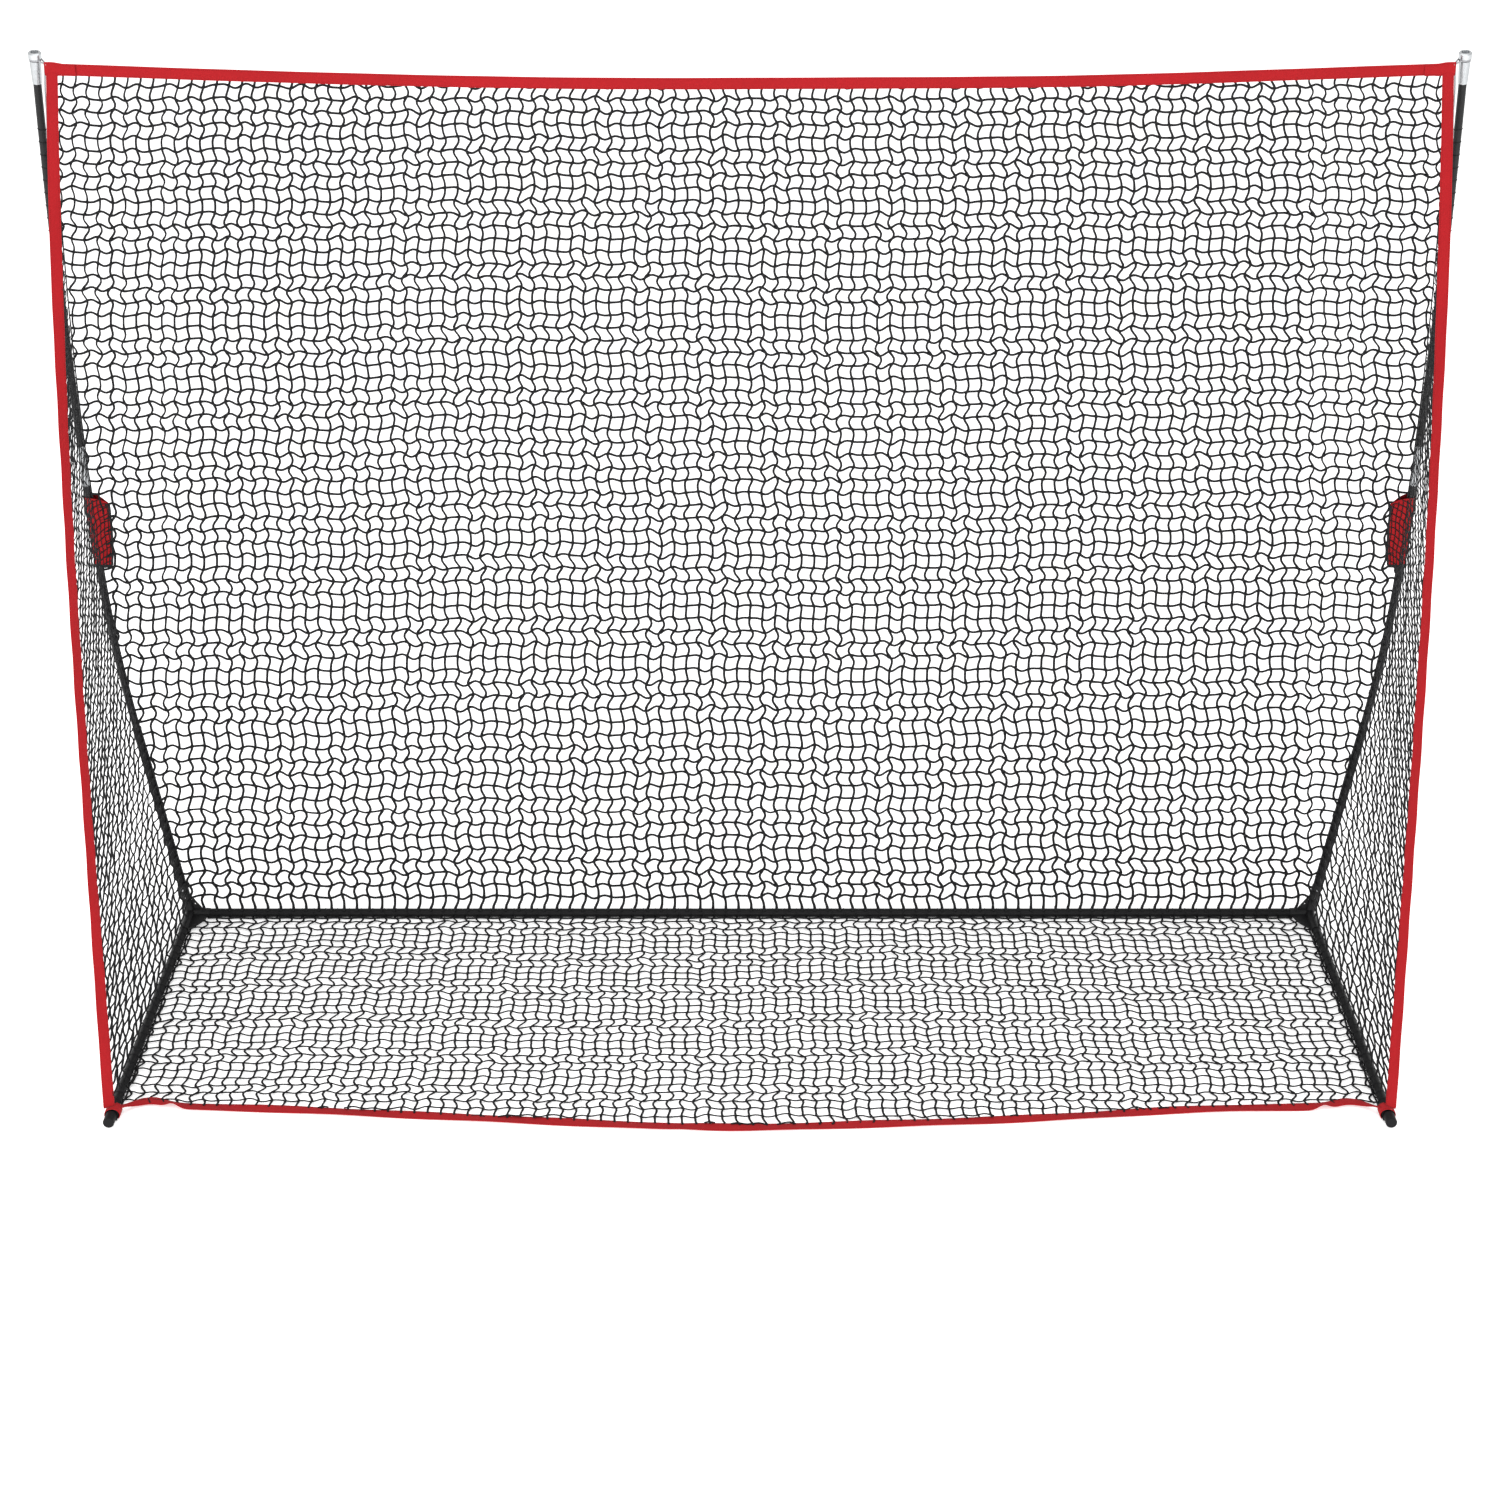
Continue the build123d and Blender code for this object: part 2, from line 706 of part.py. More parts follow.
with BuildPart() as hem:
    with BuildSketch(Plane.XY):
        with BuildLine():
            front_edge = hem_arc(-tape_half, hem_half_width)
            back_edge = hem_arc(tape_half, hem_half_width)
            ThreePointArc(*front_edge)
            Line(front_edge[2], back_edge[2])
            ThreePointArc(*back_edge)
            Line(back_edge[0], front_edge[0])
        make_face()
    extrude(amount=tape_thickness)
save(hem, "floor_hem")

floor_half = base_half_width - socket_radius - sheet_clearance
floor_back = rear_y - socket_radius - sheet_clearance
corner_cut = web_reach + sheet_clearance
with BuildPart() as floor_panel:
    with BuildSketch(Plane.XY.offset(sheet_thickness * 0.2)):
        with BuildLine():
            left_front, middle_front, right_front = hem_arc(tape_half + sheet_clearance, hem_half_width)
            ThreePointArc(left_front, middle_front, right_front)
            Polyline(
                right_front,
                (floor_half, hem_end_y + tape_half + sheet_clearance),
                (floor_half, rear_y - corner_cut - 6),
                (base_half_width - corner_cut * 0.62 - 12, floor_back),
                (-(base_half_width - corner_cut * 0.62 - 12), floor_back),
                (-floor_half, rear_y - corner_cut - 6),
                (-floor_half, hem_end_y + tape_half + sheet_clearance),
                left_front,
            )
        make_face()
    extrude(amount=sheet_thickness)
save(floor_panel, "net_floor_panel")

# ---- Pouches round the poles ----
for side, word in SIDES:
    foot = bow_plane(side, pouch_start)
    chord = (bow_point(side, pouch_start + pouch_length) - bow_point(side, pouch_start)).normalized()
    sleeve_plane = Plane(origin=foot.origin, x_dir=(-side, 0, 0), z_dir=chord)
    flap_plane = Plane(
        origin=foot.origin, x_dir=sleeve_plane.x_dir, z_dir=sleeve_plane.x_dir.cross(chord)
    )
    bore = pole_radius + pouch_gap
    with BuildPart() as pouch:
        with BuildSketch(sleeve_plane):
            Circle(bore + pouch_wall)
        extrude(amount=pouch_length)
        with BuildSketch(flap_plane):
            with BuildLine():
                Polyline((0, 0), (pouch_reach, -8), (pouch_reach, pouch_length - pouch_corner_radius))
                Line((pouch_reach, pouch_length - pouch_corner_radius), (0, pouch_length))
                Line((0, pouch_length), (0, 0))
            make_face()
        extrude(amount=pouch_flap_thickness / 2, both=True)
        with BuildSketch(sleeve_plane.offset(-20)):
            Circle(bore)
        extrude(amount=pouch_length + 40, mode=Mode.SUBTRACT)
    save(pouch, f"pole_pouch_{word}")

# ---- Elastic loops: from each top corner round the neck of the tip ----
for side, word in SIDES:
    neck = bow_plane(side, bow_length - cap_height - neck_height / 2 + 0.6)
    target = side_point(side, tape_point(corner_height + tape_half - 4))
    reach = neck.to_local_coords(target)
    level_reach = neck.from_local_coords((reach.X, reach.Y, 0)) - neck.origin
    loop_plane = Plane(origin=neck.origin, x_dir=level_reach, z_dir=neck.z_dir)
    loop_radius = neck_radius + elastic_diameter / 2 + 0.3
    loop_end = level_reach.length - tape_half - elastic_diameter / 2 - 1
    half_gap = elastic_diameter / 2 + 0.2
    tangent = atan2(half_gap, loop_end) + acos(loop_radius / (loop_end**2 + half_gap**2) ** 0.5)
    touch = (loop_radius * cos(tangent), loop_radius * sin(tangent))
    with BuildPart() as elastic:
        with BuildLine(loop_plane) as path:
            Line((loop_end, half_gap), touch)
            ThreePointArc(touch, (-loop_radius, 0), (touch[0], -touch[1]))
            Line((touch[0], -touch[1]), (loop_end, -half_gap))
        with BuildSketch(Plane(origin=path.line @ 0, z_dir=path.line % 0)):
            Circle(elastic_diameter / 2)
        sweep(path=path.line)
    save(elastic, f"top_loop_{word}")
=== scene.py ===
"""Bow-pole practice net: knotless mesh, webbing binding, coated tube and fibreglass poles."""

from math import cos, exp, pi, radians, sin

import bmesh
import bpy
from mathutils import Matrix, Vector


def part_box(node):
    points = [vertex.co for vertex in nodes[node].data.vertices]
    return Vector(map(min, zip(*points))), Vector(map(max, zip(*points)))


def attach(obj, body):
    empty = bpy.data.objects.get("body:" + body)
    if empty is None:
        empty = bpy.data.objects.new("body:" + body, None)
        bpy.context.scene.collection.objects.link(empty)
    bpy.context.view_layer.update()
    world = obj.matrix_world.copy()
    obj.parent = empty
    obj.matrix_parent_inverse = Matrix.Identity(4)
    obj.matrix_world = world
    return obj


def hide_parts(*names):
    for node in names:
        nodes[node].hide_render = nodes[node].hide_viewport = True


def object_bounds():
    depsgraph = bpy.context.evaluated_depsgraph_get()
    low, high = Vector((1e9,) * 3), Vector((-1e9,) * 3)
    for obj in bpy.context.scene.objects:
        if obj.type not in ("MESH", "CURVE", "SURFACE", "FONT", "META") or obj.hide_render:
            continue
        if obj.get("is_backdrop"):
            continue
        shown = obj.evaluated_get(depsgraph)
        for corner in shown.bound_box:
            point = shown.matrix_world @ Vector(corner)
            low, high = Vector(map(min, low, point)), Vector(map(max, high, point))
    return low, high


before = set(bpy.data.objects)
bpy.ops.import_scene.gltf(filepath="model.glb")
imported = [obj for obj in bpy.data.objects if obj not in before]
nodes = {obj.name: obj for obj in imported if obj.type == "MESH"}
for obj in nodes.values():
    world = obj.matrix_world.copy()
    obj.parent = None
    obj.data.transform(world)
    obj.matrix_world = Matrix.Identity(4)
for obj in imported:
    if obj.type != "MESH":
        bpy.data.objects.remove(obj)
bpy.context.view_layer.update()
SIDES = ((1, "right"), (-1, "left"))


# ---------------------------------------------------------------- shader building
class Value:
    """A socket that carries a number. Arithmetic on it adds Math nodes."""

    def __init__(self, finish, socket):
        self.finish = finish
        self.socket = socket

    def math(self, operation, *others):
        node = self.finish.node("ShaderNodeMath", {"operation": operation}, [self, *others])
        return Value(self.finish, node.outputs[0])

    def __add__(self, other):
        return self.math("ADD", other)

    def __sub__(self, other):
        return self.math("SUBTRACT", other)

    def __mul__(self, other):
        return self.math("MULTIPLY", other)

    def __rsub__(self, other):
        return self.math("MULTIPLY", -1.0).math("ADD", other)

    __radd__ = __add__
    __rmul__ = __mul__

    def sin(self):
        return self.math("SINE")

    def abs(self):
        return self.math("ABSOLUTE")

    def above(self, edge, blur):
        """0 below the edge and 1 above it, with a soft step."""
        settings = {"interpolation_type": "SMOOTHSTEP"}
        inputs = {"Value": self, "From Min": edge - blur, "From Max": edge + blur}
        node = self.finish.node("ShaderNodeMapRange", settings, inputs)
        return Value(self.finish, node.outputs[0])

    def power(self, exponent):
        return self.math("POWER", exponent)


class Finish:
    """A material under construction."""

    def __init__(self, name, colour, roughness, metallic=0.0, coat=0.0, sheen=0.0, specular=0.5):
        self.material = bpy.data.materials.new(name)
        self.material.use_nodes = True
        self.tree = self.material.node_tree
        self.shader = next(n for n in self.tree.nodes if n.type == "BSDF_PRINCIPLED")
        sockets = self.shader.inputs
        sockets["Base Color"].default_value = (*colour, 1.0)
        sockets["Roughness"].default_value = roughness
        sockets["Metallic"].default_value = metallic
        sockets["Coat Weight"].default_value = coat
        sockets["Coat Roughness"].default_value = 0.2
        sockets["Sheen Weight"].default_value = sheen
        sockets["Sheen Roughness"].default_value = 0.5
        sockets["Specular IOR Level"].default_value = specular
        self.colour = colour
        self.object_place = self.node("ShaderNodeTexCoord").outputs["Object"]

    def node(self, kind, settings=None, inputs=None):
        """Adds a node: its settings first, then the values or links of its sockets."""
        node = self.tree.nodes.new(kind)
        for key, setting in (settings or {}).items():
            setattr(node, key, setting)
        pairs = enumerate(inputs) if isinstance(inputs, list) else (inputs or {}).items()
        for key, given in pairs:
            socket = given.socket if isinstance(given, Value) else given
            if isinstance(socket, bpy.types.NodeSocket):
                self.tree.links.new(socket, node.inputs[key])
            else:
                node.inputs[key].default_value = socket
        return node

    def noise(self, scale, detail=3.0, roughness=0.5, stretch=None):
        """Noise over object coordinates, in blobs of about 1/scale metres."""
        place = self.object_place
        if stretch:
            place = self.node("ShaderNodeMapping", None, {"Vector": place, "Scale": stretch}).outputs[0]
        inputs = {"Vector": place, "Scale": scale, "Detail": detail, "Roughness": roughness}
        return Value(self, self.node("ShaderNodeTexNoise", None, inputs).outputs["Fac"])

    def uv(self, name="metres"):
        """Distances along and across a piece, in metres, from its own UV map."""
        uv = self.node("ShaderNodeUVMap", {"uv_map": name}).outputs[0]
        split = self.node("ShaderNodeSeparateXYZ", None, [uv])
        return Value(self, split.outputs[0]), Value(self, split.outputs[1])

    def axes(self):
        split = self.node("ShaderNodeSeparateXYZ", None, [self.object_place])
        return [Value(self, socket) for socket in split.outputs]

    def mix(self, factor, first, second):
        """Colour mix: first where the factor is 0, second where it is 1."""
        first, second = ((*given, 1.0) if isinstance(given, tuple) else given for given in (first, second))
        # A colour mix has its factor in socket 0, its colours in 6 and 7 and its result in output 2.
        inputs = {0: factor, 6: first, 7: second}
        return self.node("ShaderNodeMix", {"data_type": "RGBA"}, inputs).outputs[2]

    def paint(self, colour):
        self.tree.links.new(colour, self.shader.inputs["Base Color"])

    def roughen(self, value):
        self.tree.links.new(value.socket, self.shader.inputs["Roughness"])

    def emboss(self, height, strength, distance):
        inputs = {"Height": height, "Strength": strength, "Distance": distance}
        bump = self.node("ShaderNodeBump", None, inputs)
        self.tree.links.new(bump.outputs[0], self.shader.inputs["Normal"])


def shade(colour, factor):
    """The colour made darker or lighter."""
    return tuple(min(1.0, channel * factor) for channel in colour)


def speckled(name, colour, roughness, grain, spread=0.35, bump=0.0004, **more):
    """A coated or moulded surface: patches of slightly different tone and gloss, and a fine grain."""
    finish = Finish(name, colour, roughness, **more)
    patches = finish.noise(grain * 0.04, 4.0, 0.6)
    fine = finish.noise(grain, 2.0, 0.5)
    blend = patches * 0.6 + fine * 0.4
    finish.paint(finish.mix(blend, shade(colour, 1 - spread), shade(colour, 1 + spread)))
    finish.roughen(blend * 0.24 + (roughness - 0.12))
    finish.emboss(fine, 0.35, bump)
    return finish.material


def webbing(name, colour, width, lift=1.25):
    """Woven tape: ribs across it, a weave, two rows of stitching and worn, paler edges."""
    weft_pitch, warp_pitch, rib_pitch = 0.0016, 0.0013, 0.0032
    stitch_pitch, stitch_inset = 0.0046, 0.0032
    finish = Finish(name, colour, 0.78, sheen=0.04, specular=0.10)
    along, across = finish.uv()
    weft = (along * (2 * pi / weft_pitch)).sin()
    warp = (across * (2 * pi / warp_pitch)).sin()
    weave = weft * warp
    rib = (along * (2 * pi / rib_pitch) + across * 900).sin()
    fuzz = finish.noise(420.0, 3.0, 0.6)
    drift = finish.noise(5.5, 3.0, 0.6)
    off_centre = (across - width / 2).abs()
    edge = (off_centre * (2 / width)).power(8.0)
    tone = weave * 0.10 + rib * 0.05 + fuzz * 0.35 + drift * 0.5
    base = finish.mix(tone, shade(colour, 0.72), shade(colour, lift))
    base = finish.mix(edge * 0.35, base, shade(colour, 1.35))
    off_stitches = (off_centre - (width / 2 - stitch_inset)).abs()
    row = 1 - off_stitches.above(0.0006, 0.0003)
    dash = (along * (2 * pi / stitch_pitch)).sin().above(-0.25, 0.3)
    thread = row * dash
    finish.paint(finish.mix(thread * 0.75, base, shade(colour, 0.42)))
    finish.roughen(fuzz * 0.25 + 0.62)
    groove = 1 - (1 - off_stitches.above(0.0016, 0.0012)) * 0.8
    finish.emboss(weave * 0.22 + rib * 0.1 + fuzz * 0.3 + groove * 0.9 + thread * 0.5, 0.6, 0.0011)
    return finish.material


def twine(name, colour, strand=0.0009):
    """Braided polyester twine, a little dusty, with a soft sheen."""
    finish = Finish(name, colour, 0.62, specular=0.15)
    x, y, z = finish.axes()
    plait = ((x + z * 0.6 + y * 0.8) * (2 * pi / strand)).sin()
    counter = ((x - z * 0.7 - y * 0.9) * (2 * pi / strand)).sin()
    fuzz = finish.noise(900.0, 2.0, 0.6)
    dust = finish.noise(3.0, 3.0, 0.6)
    tone = plait * 0.12 + counter * 0.12 + fuzz * 0.5 + dust * 0.3
    finish.paint(finish.mix(tone, shade(colour, 0.6), shade(colour, 1.7)))
    finish.roughen(fuzz * 0.25 + 0.5)
    finish.emboss(plait * 0.4 + counter * 0.4 + fuzz * 0.5, 0.5, 0.0004)
    return finish.material


def spun_metal(name, colour, roughness, axis_scale):
    """Turned aluminium: fine rings round the axis, faint smudges and duller patches."""
    finish = Finish(name, colour, roughness, metallic=1.0)
    rings = finish.noise(700.0, 2.0, 0.5, stretch=axis_scale)
    smudge = finish.noise(38.0, 4.0, 0.65)
    grime = finish.noise(160.0, 3.0, 0.6).above(0.62, 0.12)
    base = finish.mix(smudge, shade(colour, 0.86), shade(colour, 1.1))
    base = finish.mix(grime * 0.3, base, shade(colour, 0.55))
    finish.paint(base)
    finish.roughen(rings * 0.16 + smudge * 0.22 + (roughness - 0.16))
    finish.emboss(rings, 0.22, 0.0003)
    return finish.material


# ---------------------------------------------------------------- finishes
RED = (0.322, 0.0080, 0.0113)
tape_width = 0.026
pouch_length = 0.19
# The black strips at the pouch's inner edge and lower end are painted shade of the pouch's fold.
painted_shade_width = 0.009
tube_coat = speckled("tube_coat", (0.0038, 0.0038, 0.0042), 0.44, 900.0, specular=0.14)
moulded = speckled("moulded_black", (0.006, 0.006, 0.0065), 0.46, 1400.0, bump=0.0006, specular=0.2)
cap_rubber = speckled("cap_rubber", (0.0055, 0.0055, 0.006), 0.6, 1100.0, bump=0.0006, specular=0.15)
rod_black = speckled("rod_black", (0.0055, 0.0055, 0.006), 0.40, 700.0, specular=0.25)
sleeve_black = speckled("sleeve_black", (0.007, 0.007, 0.008), 0.5, 1200.0, specular=0.25)
ferrule_metal = spun_metal("ferrule_metal", (0.45, 0.465, 0.475), 0.34, (0.25, 0.25, 3.0))
cap_metal = spun_metal("cap_metal", (0.50, 0.515, 0.525), 0.28, (0.25, 0.25, 3.0))
rivet_metal = spun_metal("rivet_metal", (0.30, 0.30, 0.31), 0.36, (1.0, 1.0, 1.0))
button_metal = spun_metal("button_metal", (0.72, 0.72, 0.72), 0.22, (1.0, 1.0, 1.0))
spring_metal = spun_metal("spring_metal", (0.45, 0.45, 0.47), 0.38, (1.0, 1.0, 1.0))
mesh_twine = twine("mesh_twine", (0.0095, 0.0095, 0.0105))
seam_rope = twine("seam_rope", (0.011, 0.011, 0.012), 0.0022)
red_tape = webbing("red_webbing", RED, tape_width)
red_canvas = webbing("red_canvas", shade(RED, 0.95), pouch_length, lift=1.1)
# A black tape finish for the strips of painted shade on the pouches.
black_painted_shade = webbing("black_painted_shade", (0.012, 0.012, 0.013), painted_shade_width, lift=2.2)
silver_elastic = twine("silver_elastic", (0.30, 0.30, 0.31), 0.0016)
black_elastic = twine("black_elastic", (0.014, 0.014, 0.015), 0.0016)

node_finish = {
    "rear_bar": tube_coat,
    "side_bar": tube_coat,
    "upright_tube": tube_coat,
    "corner_connector": moulded,
    "connector_rivets": rivet_metal,
    "upright_bushing": moulded,
    "pole_collar": sleeve_black,
    "lower_pole": rod_black,
    "upper_pole": rod_black,
    "mid_ferrule": ferrule_metal,
    "tip_ferrule": ferrule_metal,
    "tip_cap": cap_metal,
    "front_end_cap": cap_rubber,
    "rear_snap_button": button_metal,
    "side_snap_button": button_metal,
    "rear_button_spring": spring_metal,
    "side_button_spring": spring_metal,
}
for name, piece in nodes.items():
    for start, material in node_finish.items():
        if name.startswith(start):
            piece.data.materials.clear()
            piece.data.materials.append(material)


# ---------------------------------------------------------------- places read from the frame
def slice_centre(names, height):
    """Centre of the bodies' cut by a level plane: a point of a pole's axis."""
    cut = bmesh.new()
    for name in names:
        low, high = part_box(name)
        if low.z - 0.0005 <= height <= high.z + 0.0005:
            cut.from_mesh(nodes[name].data)
    geometry = cut.verts[:] + cut.edges[:] + cut.faces[:]
    level = bmesh.ops.bisect_plane(cut, geom=geometry, dist=1e-6,
                                   plane_co=(0, 0, height), plane_no=(0, 0, 1))
    points = [part.co.copy() for part in level["geom_cut"] if isinstance(part, bmesh.types.BMVert)]
    cut.free()
    xs = [point.x for point in points]
    ys = [point.y for point in points]
    return Vector(((min(xs) + max(xs)) / 2, (min(ys) + max(ys)) / 2, height))


slice_lowest, slice_step, slice_count = 0.04, 0.0425, 50
slice_margin = 0.004
pole_points = []
for index in range(slice_count):
    height = slice_lowest + slice_step * index
    names = ["lower_pole_right", "upper_pole_right"]
    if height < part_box("lower_pole_right")[0].z + slice_margin:
        names = ["upright_tube_right"]
    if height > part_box("upper_pole_right")[1].z - slice_margin:
        break
    pole_points.append(slice_centre(names, height))


def between(points, height):
    """Smooth value of a list of points at a height (Catmull-Rom)."""
    last = len(points) - 1
    index = 0
    while index < last - 1 and points[index + 1].z < height:
        index += 1
    a, b = points[index], points[index + 1]
    before = points[max(index - 1, 0)]
    after = points[min(index + 2, last)]
    part = (height - a.z) / (b.z - a.z)
    if part < 0 or part > 1:
        return a + (b - a) * part
    square, cube = part * part, part * part * part
    point = (a * 2 + (b - before) * part + (before * 2 - a * 5 + b * 4 - after) * square
             + (a * 3 - before - b * 3 + after) * cube) / 2
    point.z = height
    return point


def axis_at(height):
    """Point of the right-hand pole's axis."""
    return between(pole_points, height)


rear_low, rear_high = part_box("rear_bar_inner_left")
bar_low, bar_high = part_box("side_bar_right")
rear_y = (rear_low.y + rear_high.y) / 2
side_x = (bar_low.x + bar_high.x) / 2
front_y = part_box("front_end_cap_right")[0].y
bar_radius = (bar_high.z - bar_low.z) / 2
bar_height = (bar_high.z + bar_low.z) / 2
tape_low, tape_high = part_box("side_tape_right")
corner_height = tape_high.z - tape_width / 2
foot_height = tape_low.z
top_sag = 0.032
pole_radius = 0.009
seam_inset, seam_inset_top = 0.0115, 0.040
seam_forward, seam_forward_top = 0.0075, 0.020
tape_bulge_high, tape_bulge_low = 0.015, 0.0060
CUBIC_PEAK = 27 / 4


def share(height):
    """0 at the foot of the side tapes and 1 at the top corner."""
    return min(max((height - foot_height) / (corner_height - foot_height), 0.0), 1.0)


def seam_point(height):
    """Right-hand seam of the back and side panels: beside the pole, and inward at the very top."""
    axis = axis_at(height)
    pull = (max(share(height) - 0.55, 0.0) / 0.45) ** 1.6
    inward = seam_inset + (seam_inset_top - seam_inset) * pull
    forward = seam_forward + (seam_forward_top - seam_forward) * pull
    return Vector((axis.x - inward, axis.y - forward, height))


tape_foot = Vector((side_x + 0.006, front_y + 0.042, foot_height))
tape_top = seam_point(corner_height)


def tape_point(height):
    """Middle of the right-hand side tape, which bulges outward from a straight line."""
    part = (height - foot_height) / (corner_height - foot_height)
    place = tape_foot + (tape_top - tape_foot) * part
    inside = min(max(part, 0.0), 1.0)
    place.x += tape_bulge_high * CUBIC_PEAK * inside * inside * (1 - inside)
    place.x += tape_bulge_low * CUBIC_PEAK * inside * (1 - inside) ** 2
    return place


def ease(value):
    """0 up to 0 and 1 from 1 on, with a smooth step between."""
    value = min(max(value, 0.0), 1.0)
    return value * value * (3 - 2 * value)


def tape_turn(side, part):
    """How far a side tape is turned out of the plane of the opening, in radians."""
    most, at_foot = (0.94, 0.70) if side > 0 else (0.98, 0.55)
    return ease((1 - part) / 0.42) * (at_foot + (most - at_foot) * ease(part / 0.3))


def wander(position, seed, *waves):
    """Sum of sines: a smooth, repeatable unevenness. Each wave is (period, size)."""
    total = 0.0
    for index, (period, size) in enumerate(waves):
        total += size * sin(2 * pi * position / period + seed * (1.7 + index) + index * 2.1)
    return total


# ---------------------------------------------------------------- piece helpers
def finish_piece(piece, material, *replaced, slot=None):
    """Gives a piece its material, its body and the CAD nodes it stands for. The slot argument is not used.
    """
    piece.data.materials.clear()
    piece.data.materials.append(material)
    for face in piece.data.polygons:
        face.use_smooth = True
    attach(piece, "frame")
    if replaced:
        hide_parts(*replaced)
    return piece


def new_piece(name, mesh):
    piece = bpy.data.objects.new(name, mesh)
    bpy.context.scene.collection.objects.link(piece)
    return piece


def strands(name, paths, radius, material, *replaced, slot=None, sides=0, closed=False):
    """Round strands along lists of (point, thickness), as one mesh."""
    curve = bpy.data.curves.new(name + "_path", "CURVE")
    curve.dimensions = "3D"
    curve.bevel_depth = radius
    curve.bevel_resolution = sides
    curve.use_fill_caps = not closed
    for path in paths:
        spline = curve.splines.new("POLY")
        spline.points.add(len(path) - 1)
        for point, (place, thickness) in zip(spline.points, path):
            point.co = (*place, 1.0)
            point.radius = thickness
        spline.use_cyclic_u = closed
    holder = bpy.data.objects.new(name + "_path", curve)
    bpy.context.scene.collection.objects.link(holder)
    bpy.context.view_layer.update()
    mesh = bpy.data.meshes.new_from_object(holder.evaluated_get(bpy.context.evaluated_depsgraph_get()))
    bpy.data.objects.remove(holder)
    bpy.data.curves.remove(curve)
    mesh.name = name
    piece = new_piece(name, mesh)
    return finish_piece(piece, material, *replaced, slot=slot)


def ribbon(name, length, width, steps, across, place, thickness, material, *replaced, slot=None):
    """A strip of cloth: a flat grid, each point moved to place(along, across)."""
    sheet = bmesh.new()
    bmesh.ops.create_grid(sheet, x_segments=steps, y_segments=across, size=0.5, calc_uvs=True)
    uv = sheet.loops.layers.uv.verify()
    for face in sheet.faces:
        for loop in face.loops:
            loop[uv].uv = ((loop.vert.co.x + 0.5) * length, (loop.vert.co.y + 0.5) * width)
    for vert in sheet.verts:
        vert.co = place(vert.co.x + 0.5, vert.co.y + 0.5)
    mesh = bpy.data.meshes.new(name)
    sheet.to_mesh(mesh)
    sheet.free()
    mesh.uv_layers[0].name = "metres"
    piece = new_piece(name, mesh)
    finish_piece(piece, material, *replaced, slot=slot)
    solid = piece.modifiers.new("thickness", "SOLIDIFY")
    solid.thickness = thickness
    solid.offset = 0.0
    round_off = piece.modifiers.new("soft_edges", "SUBSURF")
    round_off.levels = 1
    round_off.render_levels = 1
    return piece


# ---------------------------------------------------------------- back panel
def column_pitch(height):
    """Mesh width: the net is pulled wider at the bottom than at the top."""
    part = min(max(height / 2.15, 0.0), 1.0)
    return 0.0322 - 0.0016 * part - 0.0029 * part * part


def row_pitch(height):
    """Mesh height: the net is stretched most over the bend of the poles."""
    return 0.0291 + 0.0052 * exp(-((height - 0.95) / 0.85) ** 2)


row_heights = [rear_high.z + 0.004]
while row_heights[-1] < 2.26:
    row_heights.append(row_heights[-1] + row_pitch(row_heights[-1]))


def row_height(row):
    """Height of a level strand, or of a place between two of them."""
    index = int(min(max(row, 0), len(row_heights) - 2))
    return row_heights[index] + (row_heights[index + 1] - row_heights[index]) * (row - index)


def back_y(height):
    """The back panel hangs between the poles and lies against their front."""
    return seam_point(height).y


def column_wave(row):
    """Sideways wave of an upright strand, in meshes. It drifts slowly from column to column."""
    return wander(row, 0.4, (2.0, 0.145), (1.4, 0.07), (3.1, 0.05), (11.0, 0.03))


def row_wave(column):
    """Upward wave of a level strand, in meshes. It drifts slowly from row to row."""
    return wander(column, 1.9, (2.1, 0.125), (1.45, 0.07), (3.7, 0.045), (13.0, 0.03))


def slack(x, z):
    """Depth of the mesh's own unevenness."""
    return 0.0035 * sin(x * 2.3 + 0.4) * sin(z * 3.1) + 0.002 * sin(x * 9.0 + z * 6.0)


def tape_lower_edge(x):
    """Height of the top tape's lower edge, which sags in the middle."""
    part = min(abs(x) / tape_top.x, 1.0)
    return corner_height - top_sag * (1 - part * part) - tape_width / 2


def swell(position):
    """A strand is a little thicker where it passes through a crossing."""
    return 1.0 + 0.18 * exp(-((position - round(position)) / 0.15) ** 2)


def heft(height):
    """The twine is drawn a little thinner near the top, where it carries the panel's weight."""
    return 1.20 - 0.26 * height / corner_height


STEPS = 5  # points of a strand in each mesh
STRAND = 0.00272
# The panel is split at these columns and rows, so that no piece has too many triangles.
MIDDLE_COLUMNS = 18
LOWER_ROWS = 21
MIDDLE_ROWS = 43


def back_point(column, row):
    """A point of the back panel, counted in meshes from its middle and from the rear bar."""
    z = row_height(row)
    x = column * column_pitch(z)
    return Vector((x, back_y(z) + slack(x, z), z))


def inside_back(point):
    return abs(point.x) < seam_point(point.z).x and point.z < tape_lower_edge(point.x) + 0.006


def to_back_edge(point):
    """The nearest place on the back panel's border to a point past it."""
    reach = seam_point(point.z).x + 0.002
    x = min(max(point.x, -reach), reach)
    return Vector((x, point.y, min(point.z, tape_lower_edge(x) + 0.008)))


def clipped(points, inside, to_edge):
    """The runs of a strand that are inside a panel, each drawn on to the panel's border."""
    runs, run = [], []
    before = None
    for point, thickness in points:
        if inside(point):
            if not run and before:
                run.append((to_edge(before[0]), thickness))
            run.append((point, thickness))
        elif run:
            run.append((to_edge(point), thickness))
            if len(run) > 3:
                runs.append(run)
            run = []
        before = (point, thickness)
    if len(run) > 3:
        runs.append(run)
    return runs


def row_to_seam(row):
    """A level strand from seam to seam."""
    z = row_height(row)
    if z > corner_height:
        return []
    reach = int(seam_point(z).x / column_pitch(z)) + 2
    points = []
    for step in range(-reach * STEPS, reach * STEPS + 1):
        column = step / STEPS
        point = back_point(column, row + row_wave(column + 0.9 * sin(row * 0.17)))
        points.append((point, swell(column) * heft(point.z)))
    return clipped(points, inside_back, to_back_edge)


